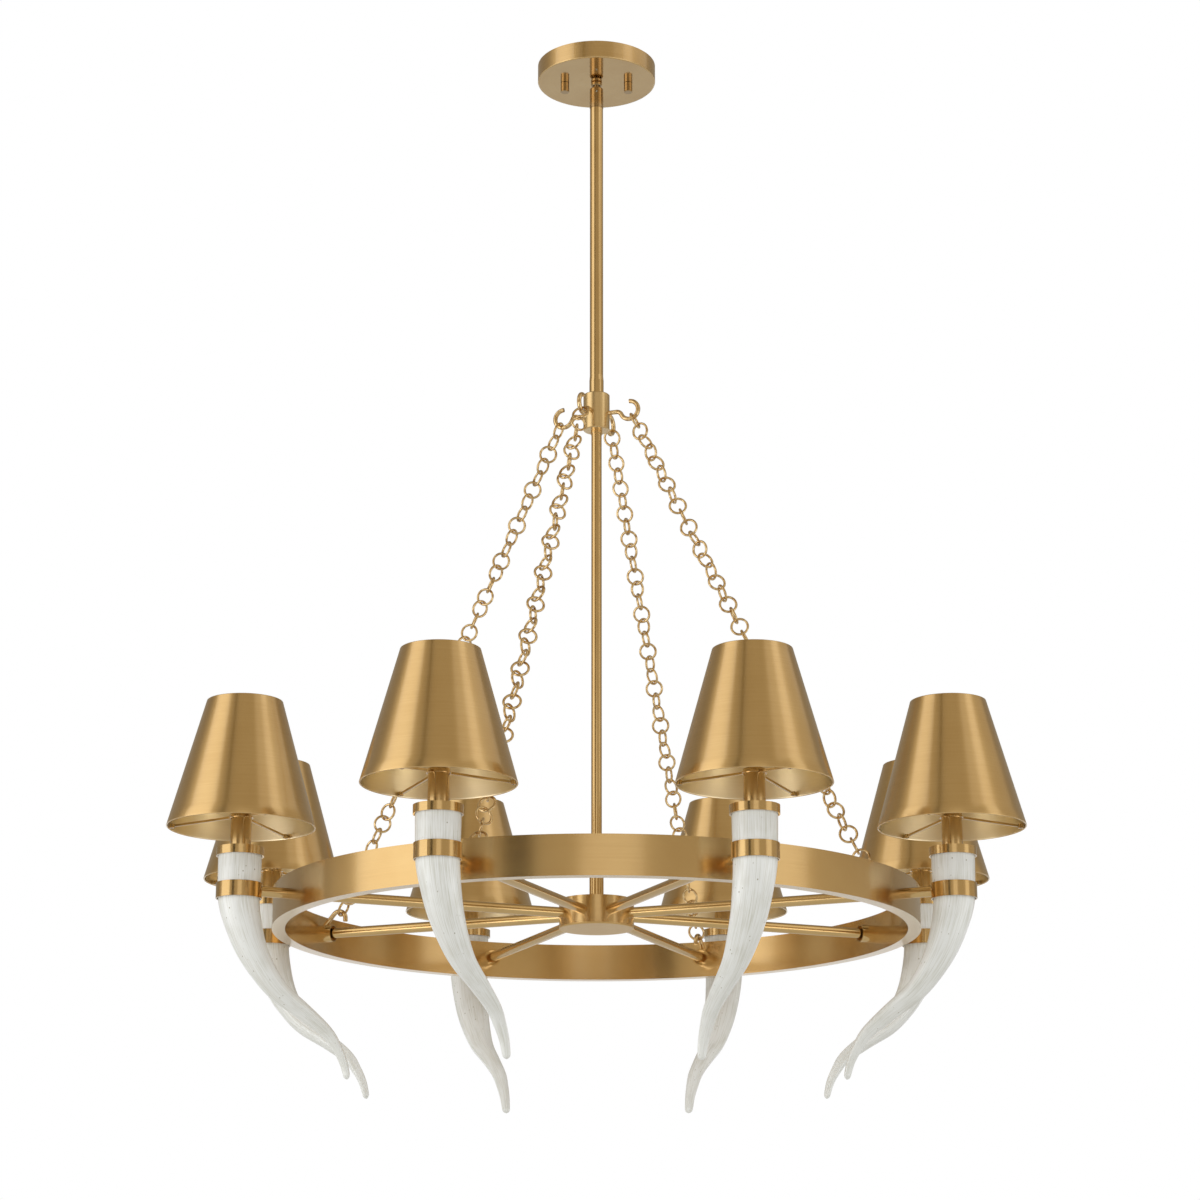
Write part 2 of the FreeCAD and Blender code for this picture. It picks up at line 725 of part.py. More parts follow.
def make_candle_nipple():
    """Threaded tube that ties the lamp holder to the cap and the horn."""
    low = cap_top - candle_nipple_length / 2
    return pipe(nipple_radius, nipple_bore / 2, low, low + candle_nipple_length)


def make_holder():
    """Candelabra lamp holder with its threaded socket facing up."""
    thread = holder_thread_diameter / 2
    socket_floor = holder_top - holder_thread_depth
    seat = cap_top + candle_nipple_length / 2 + seat_gap
    return turned([(threaded_bore, cap_top), (holder_radius, cap_top), (holder_radius, holder_top),
                   (thread, holder_top), (thread, socket_floor), (0, socket_floor),
                   (0, seat), (threaded_bore, seat)])


def make_shade_shell():
    """Open metal cone."""
    low, high = shade_bottom_diameter / 2, shade_top_diameter / 2
    top = shade_bottom + shade_height
    return turned([(low - shade_sheet, shade_bottom), (low, shade_bottom), (high, top),
                   (high - shade_sheet, top)])


def make_spider(turn):
    """Disc on the candle with bars out to small feet inside the shade's rim, at the first light's place."""
    disc = pipe(disc_radius, holder_radius + seat_gap, candle_top, candle_top + spider_disc_thickness)
    slope = (shade_bottom_diameter - shade_top_diameter) / 2 / shade_height
    half_foot, foot_radius = spider_foot_height / 2, spider_foot_diameter / 2
    wall = shade_bottom_diameter / 2 - shade_sheet - slope * (spider_foot_rise + half_foot)
    foot = V(wall - seat_gap - foot_radius, 0, shade_bottom + spider_foot_rise)
    inner = V(clamp_ring_diameter / 2 + seat_gap, 0, candle_top + spider_disc_thickness / 2)
    bar = Part.makeBox((foot - inner).Length, spider_bar, spider_bar, V(0, -spider_bar / 2, -spider_bar / 2))
    bar.rotate(ORIGIN, ALONG_Y, math.degrees(math.atan2(inner.z - foot.z, foot.x - inner.x)))
    bar.translate(inner)
    bar = bar.fuse(Part.makeCylinder(foot_radius, spider_foot_height, foot - UP * half_foot))
    drill = Part.makeCylinder(spider_foot_bore / 2, 2 * spider_foot_height, foot - UP * spider_foot_height)
    bar = bar.cut(drill)
    for number in range(spider_bar_count):
        disc = disc.fuse(turned_to(bar, turn + 360 / spider_bar_count * number))
    return at_light(disc)


def make_spiders():
    """The eight spiders, each with its own small turn."""
    return Part.makeCompound([turned_to(make_spider(turn), angle)
                              for turn, angle in zip(spider_turn_angles, light_angles)])


def make_clamp_ring():
    """Threaded ring that clamps the spider to the lamp holder."""
    bottom = candle_top + spider_disc_thickness
    return pipe(clamp_ring_diameter / 2, holder_radius + running_gap, bottom, bottom + clamp_ring_height)


def at_lights(shape):
    """A piece made about Z, repeated at the eight lights as one group."""
    return all_round(at_light(shape), light_angles)


def build():
    """Every piece by its node name."""
    parts = {
        "mounting_strap": make_strap(),
        "canopy": make_canopy(),
        "canopy_studs": make_studs(),
        "stud_nuts": make_stud_nuts(),
        "canopy_knob_left": make_knob(-1),
        "canopy_knob_right": make_knob(1),
        "swivel_stem": make_swivel_stem(),
        "swivel_lock_nut": make_lock_nut(),
        "swivel_cross": make_swivel_cross(),
        "swivel_sleeve": make_swivel_sleeve(),
        "upper_rod": make_upper_rod(),
        "rod_nipples": make_rod_nipples(),
        "rod_coupling": make_coupling(),
        "hook_collar": make_collar(),
        "collar_bushing": make_bushing(),
        "upper_hooks": all_round(make_upper_hook(), chain_angles),
        "lower_rod": make_lower_rod(),
        "foot_sleeve": make_foot_sleeve(),
        "hub_body": make_hub_body(),
        "hub_cover": make_hub_cover(),
        "ring": make_ring(),
        "spoke_barrels": make_barrels(),
        "ring_stud_tubes": make_stud_tubes(),
        "lower_hooks": all_round(make_lower_hook(), chain_angles),
        "horn_arms": all_round(make_arm(), light_angles),
        "horn_bands": at_lights(make_band()),
        "horn_caps": at_lights(make_cap()),
        "candle_nipples": at_lights(make_candle_nipple()),
        "candle_sleeves": at_lights(make_candle()),
        "lamp_holders": at_lights(make_holder()),
        "shade_spiders": make_spiders(),
        "shade_clamp_rings": at_lights(make_clamp_ring()),
    }
    spoke, blank, shell = make_spoke(), make_horn_blank(), at_light(make_shade_shell())
    for number, angle in enumerate(light_angles):
        parts[f"spoke_{number + 1}"] = turned_to(spoke, angle)
        parts[f"horn_{number + 1}"] = turned_to(at_light(make_horn(blank, horn_yaw_angles[number])), angle)
        parts[f"shade_{number + 1}"] = turned_to(shell, angle)
    for number, angle in enumerate(chain_angles):
        chain = make_chain(chain_square_links[number], chain_half_turns[number])
        parts[f"chain_{number + 1}"] = turned_to(chain, angle)
    return parts


def main():
    """Write every piece to its own file."""
    os.makedirs("parts", exist_ok=True)
    for name, shape in build().items():
        if not shape.isValid():
            raise ValueError(f"{name} is not a valid shape")
        shape.exportStep(f"parts/{name}.step")


main()
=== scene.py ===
"""Studio scene of an eight-light ring chandelier in brushed brass with cast white horns.

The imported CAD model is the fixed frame, in metres, with the ceiling plane at Z = 0 and the viewer on the
-Y side. Chains, horns and shades are built here as finer pieces in the places of their CAD nodes, and all
other CAD nodes are shown with a finish of their own.
"""
import json
import logging
import math
from dataclasses import dataclass, replace
from enum import Enum
from typing import Any, ClassVar, Iterable, Sequence

import bmesh
import bpy
import numpy as np
from mathutils import Matrix, Vector, noise


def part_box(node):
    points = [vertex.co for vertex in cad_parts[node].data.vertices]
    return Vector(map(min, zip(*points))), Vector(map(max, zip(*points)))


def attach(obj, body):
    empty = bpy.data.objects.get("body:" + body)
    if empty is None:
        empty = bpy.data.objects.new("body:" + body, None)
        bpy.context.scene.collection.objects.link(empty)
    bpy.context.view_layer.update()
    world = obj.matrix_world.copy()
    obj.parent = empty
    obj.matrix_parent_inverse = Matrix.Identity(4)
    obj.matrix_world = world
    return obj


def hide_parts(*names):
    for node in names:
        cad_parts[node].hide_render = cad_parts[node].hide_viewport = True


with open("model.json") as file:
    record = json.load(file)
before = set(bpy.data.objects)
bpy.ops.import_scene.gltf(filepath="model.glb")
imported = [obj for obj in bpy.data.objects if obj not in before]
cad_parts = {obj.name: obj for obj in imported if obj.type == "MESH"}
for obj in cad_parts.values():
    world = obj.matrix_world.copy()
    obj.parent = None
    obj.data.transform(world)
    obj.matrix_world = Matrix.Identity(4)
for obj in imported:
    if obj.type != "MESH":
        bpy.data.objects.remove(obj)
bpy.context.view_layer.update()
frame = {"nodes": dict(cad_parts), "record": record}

log = logging.getLogger("chandelier")

MM = 0.001
BODY = "fixture"
GRAIN = "straight_grain"  # Vertex attribute of a horn: each point's place if the horn were straight.
NOISE_LOW = 0.3  # A noise pattern lies mostly between these two.
NOISE_HIGH = 0.7
AROUND_TURN = 1.5 * MM  # How far lines round an axis drift along themselves, in metres per radian.
SPOKE_TURN = 0.35  # Width that a radian about the hub stands for, in metres, for lines along a spoke.
SPOKE_DRIFT = 0.01  # How fast these lines change along the spoke, as a share of real length.
ROD_DRIFT = 0.004  # The same for lines down a rod.

Node = bpy.types.Node
NodeTree = bpy.types.NodeTree
Socket = bpy.types.NodeSocket
Material = bpy.types.Material
BMesh = bmesh.types.BMesh
BMVert = bmesh.types.BMVert
Colour = tuple[float, float, float, float]
Outline = list[tuple[float, float, int]]


def linear(code: str) -> Colour:
    """Turns an sRGB hex code into a linear colour.

    Args:
        code: six hex digits, such as "C9A262".

    Returns:
        Red, green and blue in linear light, and an alpha of 1.
    """
    parts = []
    for start in (0, 2, 4):
        value = int(code[start:start + 2], 16) / 255
        parts.append(value / 12.92 if value <= 0.04045 else ((value + 0.055) / 1.055) ** 2.4)
    return parts[0], parts[1], parts[2], 1.0


def add_node(tree: NodeTree, kind: str, inputs: dict[Any, Any] | Sequence[Any] = (),
             stops: Iterable[tuple[float, Colour]] = (), **settings: Any) -> Node:
    """Adds a shader node with its settings and links.

    Args:
        tree: the node tree that gets the node.
        kind: the node's type name after "ShaderNode".
        inputs: what goes into its inputs, by name or number, or in a row from the first. Each is a value, an
            output socket, or a node whose first output is meant.
        stops: places and colours of a colour ramp.
        **settings: properties of the node itself.

    Returns:
        The new node.
    """
    node = tree.nodes.new("ShaderNode" + kind)
    for name, value in settings.items():
        setattr(node, name, value)
    for name, value in (inputs if isinstance(inputs, dict) else dict(enumerate(inputs))).items():
        source = value.outputs[0] if isinstance(value, Node) else value
        if isinstance(source, Socket):
            tree.links.new(source, node.inputs[name])
        else:
            node.inputs[name].default_value = source
    for number, (place, colour) in enumerate(stops):
        elements = node.color_ramp.elements
        element = elements[number] if number < len(elements) else elements.new(place)
        element.position = place
        element.color = colour
    return node


class Brushing(Enum):
    """Which way the abrasive ran over a brass piece."""

    AROUND_FIXTURE = "around the fixture's own axis"
    AROUND_LIGHT = "around the axis of the nearest light"
    AROUND_PIECE = "around the piece's own axis"
    ALONG_SPOKE = "out along the nearest spoke"
    ALONG_ROD = "down the rod"


@dataclass(frozen=True)
class LightPlaces:
    """Where the lights stand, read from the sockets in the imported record.

    Args:
        axes: for each light, the point of its axis at the socket.
    """

    axes: tuple[Vector, ...]

    @classmethod
    def from_record(cls, record: dict[str, Any]) -> "LightPlaces":
        """Reads the bulb sockets.

        Args:
            record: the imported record.

        Returns:
            The lights in the order of their numbers.
        """
        sockets = [mount for mount in record["mounts"] if mount["name"].startswith("bulb_socket_")]
        sockets.sort(key=lambda mount: int(mount["name"].rsplit("_", 1)[1]))
        return cls(tuple(Vector(mount["pos_m"]) for mount in sockets))

    @property
    def radius(self) -> float:
        """Distance of every light from the fixture's axis."""
        return self.axes[0].xy.length

    @property
    def first_angle(self) -> float:
        """Angle of the first light from +X."""
        return math.atan2(self.axes[0].y, self.axes[0].x)

    @property
    def step(self) -> float:
        """Angle from one light to the next."""
        return 2 * math.pi / len(self.axes)

    def angle(self, number: int) -> float:
        """Angle of a light from +X."""
        return self.first_angle + self.step * number


LIGHTS = LightPlaces.from_record(frame["record"])


def nearest_light_axis(tree: NodeTree, place: Socket) -> Node:
    """Finds the light that a point belongs to, for pieces made in groups of eight.

    Args:
        tree: the material's node tree.
        place: the point.

    Returns:
        A node that gives the foot of that light's axis.
    """
    apart = add_node(tree, "SeparateXYZ", (place,)).outputs
    angle = add_node(tree, "Math", (apart[1], apart[0]), operation="ARCTAN2")
    shifted = add_node(tree, "Math", (angle, LIGHTS.first_angle - LIGHTS.step / 2), operation="SUBTRACT")
    whole = add_node(tree, "Math", (shifted, LIGHTS.step), operation="SNAP")
    centre = add_node(tree, "Math", (whole, LIGHTS.first_angle), operation="ADD")
    parts = []
    for operation in ("COSINE", "SINE"):
        share = add_node(tree, "Math", (centre,), operation=operation)
        parts.append(add_node(tree, "Math", (share, LIGHTS.radius), operation="MULTIPLY"))
    return add_node(tree, "CombineXYZ", parts)


def brushed_place(tree: NodeTree, brushing: Brushing) -> tuple[Node, Node]:
    """Finds where a point lies on the brushed surface.

    Args:
        tree: the material's node tree.
        brushing: the way the abrasive ran.

    Returns:
        A node whose vector changes fast across the brush lines and slowly along them, in metres across, and
        one that gives the direction of the lines in the world.
    """
    place = add_node(tree, "TexCoord").outputs["Object"]
    if brushing is Brushing.ALONG_ROD:
        return (add_node(tree, "VectorMath", (place, (1, 1, ROD_DRIFT)), operation="MULTIPLY"),
                add_node(tree, "CombineXYZ", {2: 1.0}))
    if brushing is Brushing.AROUND_LIGHT:
        foot = nearest_light_axis(tree, place)
        place = add_node(tree, "VectorMath", (place, foot), operation="SUBTRACT").outputs[0]
    apart = add_node(tree, "SeparateXYZ", (place,)).outputs
    flat = add_node(tree, "CombineXYZ", (apart[0], apart[1]))
    reach = add_node(tree, "VectorMath", (flat,), operation="LENGTH").outputs["Value"]
    direction = outward = add_node(tree, "VectorMath", (flat,), operation="NORMALIZE")
    turn, drift = SPOKE_TURN, SPOKE_DRIFT
    if brushing is not Brushing.ALONG_SPOKE:
        turn, drift = AROUND_TURN, 1.0
        direction = add_node(tree, "VectorMath", ((0, 0, 1), outward), operation="CROSS_PRODUCT")
    aside = add_node(tree, "VectorMath", {0: outward, "Scale": turn}, operation="SCALE")
    slow = add_node(tree, "Math", (reach, drift), operation="MULTIPLY")
    height = add_node(tree, "Math", (apart[2], slow), operation="ADD")
    lift = add_node(tree, "CombineXYZ", {2: height})
    return (add_node(tree, "VectorMath", (aside, lift), operation="ADD"),
            add_node(tree, "VectorTransform", (direction,), vector_type="VECTOR", convert_from="OBJECT",
                     convert_to="WORLD"))


@dataclass(frozen=True)
class SurfaceFinish:
    """What a real surface is and how it was made, drawn by one shader.

    Args:
        name: the material's name.
    """

    name: str

    def shader(self, tree: NodeTree) -> Node:
        """Builds the finish's own nodes and gives the shader that they end in."""
        raise NotImplementedError

    def material(self) -> Material:
        """Builds the material when it is first asked for.

        Returns:
            The finish as a Blender material.
        """
        material = bpy.data.materials.get(self.name)
        if material is None:
            material = bpy.data.materials.new(self.name)
            material.use_nodes = True
            material.node_tree.nodes.clear()
            add_node(material.node_tree, "OutputMaterial", (self.shader(material.node_tree),))
        return material


@dataclass(frozen=True)
class BrushedBrass(SurfaceFinish):
    """Brass sheet and tube, belt-brushed and clear lacquered.

    The fine parallel scratches draw each lamp out into a long soft band across them, and the lacquer lays
    a faint clean gloss over it.

    Args:
        name: the material's name.
        brushing: the way the abrasive ran.
        bright: colour of the metal on the crests of the scratches.
        deep: colour in their valleys, where the lacquer is thicker.
        line_width: width of one scratch in metres, drawn coarser than the real 0.1 mm so that it shows.
        finer_lines: how many times the lines split again into lines half as wide.
        fineness: how strong the finer lines are beside the coarser ones.
        scratch_depth: height of the scratches in metres.
        scratch_strength: how much of that height tilts the light.
        cloud_size: size in metres of the slow changes of tone that the brushing leaves.
        clouding: share of those changes in the tone, the rest of which is the scratches'.
        roughness: roughness of the metal between the scratches.
        roughness_spread: how far the scratches change it, up and down.
        anisotropy: how far the scratches stretch a reflection across themselves.
        stretch_turn: turn of that stretch from the lines' direction, in whole turns.
        lacquer: how much of the clear lacquer's own gloss shows.
        lacquer_roughness: roughness of the lacquer's face.
        face_roughness: roughness of the level faces, where they are polished finer than the walls.
        face_tilt: upright shares of a face's direction where it starts to count as level, and where it does.
    """

    brushing: Brushing
    bright: str = "D6B67D"
    deep: str = "CDAA6F"
    line_width: float = 1.0 * MM
    finer_lines: float = 3.0
    fineness: float = 0.65
    scratch_depth: float = 0.0025 * MM
    scratch_strength: float = 0.35
    cloud_size: float = 45 * MM
    clouding: float = 0.5
    roughness: float = 0.33
    roughness_spread: float = 0.015
    anisotropy: float = 0.5
    stretch_turn: float = 0.25
    lacquer: float = 0.9
    lacquer_roughness: float = 0.12
    face_roughness: float | None = None
    face_tilt: tuple[float, float] = (0.75, 0.95)

    def shader(self, tree: NodeTree) -> Node:
        """Draws the scratches in the metal's tone, gloss and height.

        Args:
            tree: the material's node tree.

        Returns:
            The shader node.
        """
        lines, direction = brushed_place(tree, self.brushing)
        scratches = add_node(tree, "TexNoise", {
            "Vector": lines, "Scale": 1 / self.line_width, "Detail": self.finer_lines,
            "Roughness": self.fineness})
        surface = add_node(tree, "TexCoord").outputs
        clouds = add_node(tree, "TexNoise", {"Vector": surface["Object"], "Scale": 1 / self.cloud_size})
        tone = add_node(tree, "Mix", {0: self.clouding, 2: scratches, 3: clouds})
        stops = ((NOISE_LOW, linear(self.deep)), (NOISE_HIGH, linear(self.bright)))
        colour = add_node(tree, "ValToRGB", (tone,), stops)
        rough = add_node(tree, "MapRange", (
            scratches, NOISE_LOW, NOISE_HIGH, self.roughness + self.roughness_spread,
            self.roughness - self.roughness_spread))
        if self.face_roughness is not None:
            upright = add_node(tree, "SeparateXYZ", (surface["Normal"],)).outputs[2]
            size = add_node(tree, "Math", (upright,), operation="ABSOLUTE")
            level = add_node(tree, "MapRange", (size, *self.face_tilt))
            rough = add_node(tree, "Mix", {0: level, 2: rough, 3: self.face_roughness})
        bump = add_node(tree, "Bump", {
            "Strength": self.scratch_strength, "Distance": self.scratch_depth, "Height": scratches})
        return add_node(tree, "BsdfPrincipled", {
            "Base Color": colour, "Metallic": 1.0, "Roughness": rough, "Normal": bump,
            "Anisotropic": self.anisotropy, "Anisotropic Rotation": self.stretch_turn, "Tangent": direction,
            "Coat Weight": self.lacquer, "Coat Roughness": self.lacquer_roughness})


@dataclass(frozen=True)
class TumbledBrass(SurfaceFinish):
    """Brass wire, bent and tumbled smooth, then clear lacquered.

    Tumbling leaves a soft shine with faint facets, a little darker where the stones did not reach.

    Args:
        name: the material's name.
        bright: colour of the polished metal.
        deep: colour of the less polished places.
        tones: pattern values that have the deep and the bright colour.
        grain: size of the tumbling marks in metres, drawn coarser than the real 1 mm so that they show.
        mark_depth: depth of the marks in metres.
        mark_strength: how much of that depth tilts the light.
        roughness: roughness of the less polished and of the polished places.
        lacquer: how much of the clear lacquer's own gloss shows.
        lacquer_roughness: roughness of the lacquer's face.
    """

    bright: str = "E8CC98"
    deep: str = "B8925A"
    tones: tuple[float, float] = (0.32, 0.6)
    grain: float = 4 * MM
    mark_depth: float = 0.03 * MM
    mark_strength: float = 0.3
    roughness: tuple[float, float] = (0.2, 0.1)
    lacquer: float = 0.7
    lacquer_roughness: float = 0.05

    def shader(self, tree: NodeTree) -> Node:
        """Draws the tumbling marks.

        Args:
            tree: the material's node tree.

        Returns:
            The shader node.
        """
        place = add_node(tree, "TexCoord").outputs["Object"]
        marks = add_node(tree, "TexNoise", {"Vector": place, "Scale": 1 / self.grain})
        stops = zip(self.tones, (linear(self.deep), linear(self.bright)))
        colour = add_node(tree, "ValToRGB", (marks,), stops)
        rough = add_node(tree, "MapRange", (marks, NOISE_LOW, NOISE_HIGH, *self.roughness))
        bump = add_node(tree, "Bump", {
            "Strength": self.mark_strength, "Distance": self.mark_depth, "Height": marks})
        return add_node(tree, "BsdfPrincipled", {
            "Base Color": colour, "Metallic": 1.0, "Roughness": rough, "Normal": bump,
            "Coat Weight": self.lacquer, "Coat Roughness": self.lacquer_roughness})


@dataclass(frozen=True)
class ZincPlatedSteel(SurfaceFinish):
    """Mild steel screws, nuts and tubes with bright zinc plating.

    Plating leaves a bluish white shine with a faint spangle.

    Args:
        name: the material's name.
        colour: colour of the zinc.
        spangle: size of the spangle in metres.
        roughness: roughness in the middle of a spangle and at its edge.
        tint: brightness of the colour at the same places.
    """

    colour: str = "C4C6C4"
    spangle: float = 1.5 * MM
    roughness: tuple[float, float] = (0.26, 0.4)
    tint: tuple[float, float] = (1.0, 0.9)

    def shader(self, tree: NodeTree) -> Node:
        """Draws the spangle.

        Args:
            tree: the material's node tree.

        Returns:
            The shader node.
        """
        place = add_node(tree, "TexCoord").outputs["Object"]
        cells = add_node(tree, "TexVoronoi", {"Vector": place, "Scale": 1 / self.spangle})
        rough = add_node(tree, "MapRange", (cells, 0, 1, *self.roughness))
        tint = add_node(tree, "MapRange", (cells, 0, 1, *self.tint))
        colour = add_node(tree, "HueSaturation", {"Color": linear(self.colour), "Value": tint})
        return add_node(tree, "BsdfPrincipled", {"Base Color": colour, "Metallic": 1.0, "Roughness": rough})


@dataclass(frozen=True)
class MouldedPhenolic(SurfaceFinish):
    """Phenolic plastic lamp holder, compression moulded.

    Moulding gives a dull warm cream face with a very fine orange-peel texture.

    Args:
        name: the material's name.
        colour: colour of the plastic.
        peel: size of the texture in metres.
        peel_depth: depth of the texture in metres.
        peel_strength: how much of that depth tilts the light.
        tint: least and most brightness of the colour.
        roughness: roughness of the face.
        ior: index of refraction of the plastic.
    """

    colour: str = "DDD3BA"
    peel: float = 0.8 * MM
    peel_depth: float = 0.05 * MM
    peel_strength: float = 0.2
    tint: tuple[float, float] = (0.94, 1.04)
    roughness: float = 0.5
    ior: float = 1.6

    def shader(self, tree: NodeTree) -> Node:
        """Draws the orange peel.

        Args:
            tree: the material's node tree.

        Returns:
            The shader node.
        """
        place = add_node(tree, "TexCoord").outputs["Object"]
        peel = add_node(tree, "TexNoise", {"Vector": place, "Scale": 1 / self.peel})
        tint = add_node(tree, "MapRange", (peel, 0, 1, *self.tint))
        colour = add_node(tree, "HueSaturation", {"Color": linear(self.colour), "Value": tint})
        bump = add_node(tree, "Bump", {
            "Strength": self.peel_strength, "Distance": self.peel_depth, "Height": peel})
        return add_node(tree, "BsdfPrincipled", {
            "Base Color": colour, "Roughness": self.roughness, "IOR": self.ior, "Normal": bump})


@dataclass(frozen=True)
class WhitewashedResin(SurfaceFinish):
    """Polyester resin cast in the shape of horn, whitewashed over a grey-beige base and lacquered.

    The wash is wiped along the horn, so fine streaks of the base show through along its length, small
    casting pits stay darker, and the lacquer puts one narrow gloss line down each ridge.

    Args:
        name: the material's name.
        wash: colour of the whitewash.
        base: colour of the resin where the wash is thin.
        pit: colour inside the pits.
        tones: pattern values that have the base's and the wash's colour.
        grain_width: width of one streak in metres, drawn coarser than the real 0.3 mm so that it shows.
        grain_length: length of one streak in metres.
        fineness: how strong the finer streaks are beside the coarser ones.
        patch_size: size in metres of the patches with more or less wash.
        patching: share of the patches in the pattern, the rest of which is the streaks'.
        pit_spacing: distance between pits in metres.
        pit_edge: where a pit's edge starts and ends, as shares of the spacing.
        pitted_patches: patch values where pits start to show and where they show in full.
        relief: depth of the streaks and pits in metres.
        relief_strength: how much of that depth tilts the light.
        roughness: roughness of the bare and of the washed resin.
        ior: index of refraction of the resin.
        lacquer: how much of the clear lacquer's own gloss shows.
        lacquer_roughness: roughness of the lacquer's face.
    """

    wash: str = "F4F5F1"
    base: str = "DAD9CE"
    pit: str = "A39A83"
    tones: tuple[float, float] = (0.34, 0.54)
    grain_width: float = 1.1 * MM
    grain_length: float = 36 * MM
    fineness: float = 0.6
    patch_size: float = 24 * MM
    patching: float = 0.3
    pit_spacing: float = 7 * MM
    pit_edge: tuple[float, float] = (0.06, 0.14)
    pitted_patches: tuple[float, float] = (0.46, 0.56)
    relief: float = 0.06 * MM
    relief_strength: float = 0.5
    roughness: tuple[float, float] = (0.5, 0.32)
    ior: float = 1.5
    lacquer: float = 0.6
    lacquer_roughness: float = 0.14

    def shader(self, tree: NodeTree) -> Node:
        """Draws the wiped wash, its streaks and the pits.

        Args:
            tree: the material's node tree.

        Returns:
            The shader node.
        """
        straight = add_node(tree, "Attribute", attribute_name=GRAIN).outputs["Vector"]
        stretch = (1 / self.grain_width, 1 / self.grain_width, 1 / self.grain_length)
        along = add_node(tree, "VectorMath", (straight, stretch), operation="MULTIPLY")
        streaks = add_node(tree, "TexNoise", {"Vector": along, "Scale": 1.0, "Roughness": self.fineness})
        patches = add_node(tree, "TexNoise", {"Vector": straight, "Scale": 1 / self.patch_size})
        worn = add_node(tree, "Mix", {0: self.patching, 2: streaks, 3: patches})
        stops = zip(self.tones, (linear(self.base), linear(self.wash)))
        washed = add_node(tree, "ValToRGB", (worn,), stops)
        holes = add_node(tree, "TexVoronoi", {"Vector": straight, "Scale": 1 / self.pit_spacing})
        pits = add_node(tree, "MapRange", (holes, *self.pit_edge, 1, 0))
        few = add_node(tree, "MapRange", (patches, *self.pitted_patches))
        pitted = add_node(tree, "Math", (pits, few), operation="MULTIPLY")
        colour = add_node(tree, "Mix", {0: pitted, 6: washed, 7: linear(self.pit)}, data_type="RGBA")
        height = add_node(tree, "Math", (streaks, pitted), operation="SUBTRACT")
        bump = add_node(tree, "Bump", {
            "Strength": self.relief_strength, "Distance": self.relief, "Height": height})
        rough = add_node(tree, "MapRange", (worn, NOISE_LOW, NOISE_HIGH, *self.roughness))
        return add_node(tree, "BsdfPrincipled", {
            "Base Color": colour.outputs[2], "Roughness": rough, "IOR": self.ior, "Normal": bump,
            "Coat Weight": self.lacquer, "Coat Roughness": self.lacquer_roughness})


@dataclass(frozen=True)
class RolledPaint(SurfaceFinish):
    """Matt emulsion paint on board, rolled on, which gives an even pale face with a faint stipple.

    Args:
        name: the material's name.
        colour: colour of the paint.
        stipple: size of the stipple in metres.
        stipple_depth: depth of the stipple in metres.
        stipple_strength: how much of that depth tilts the light.
        roughness: roughness of the paint.
    """

    colour: str = "D6D5D1"
    stipple: float = 4 * MM
    stipple_depth: float = 0.1 * MM
    stipple_strength: float = 0.1
    roughness: float = 0.8

    def shader(self, tree: NodeTree) -> Node:
        """Draws the stipple.

        Args:
            tree: the material's node tree.

        Returns:
            The shader node.
        """
        place = add_node(tree, "TexCoord").outputs["Object"]
        stipple = add_node(tree, "TexNoise", {"Vector": place, "Scale": 1 / self.stipple})
        bump = add_node(tree, "Bump", {
            "Strength": self.stipple_strength, "Distance": self.stipple_depth, "Height": stipple})
        return add_node(tree, "BsdfPrincipled", {
            "Base Color": linear(self.colour), "Roughness": self.roughness, "Normal": bump})


@dataclass(frozen=True)
class LitPaper(SurfaceFinish):
    """Evenly lit paper, which shows in one colour.

    Args:
        name: the material's name.
        colour: the colour that it shows.
    """

    colour: str

    def shader(self, tree: NodeTree) -> Node:
        """Gives a shader of that colour."""
        return add_node(tree, "Emission", (linear(self.colour),))


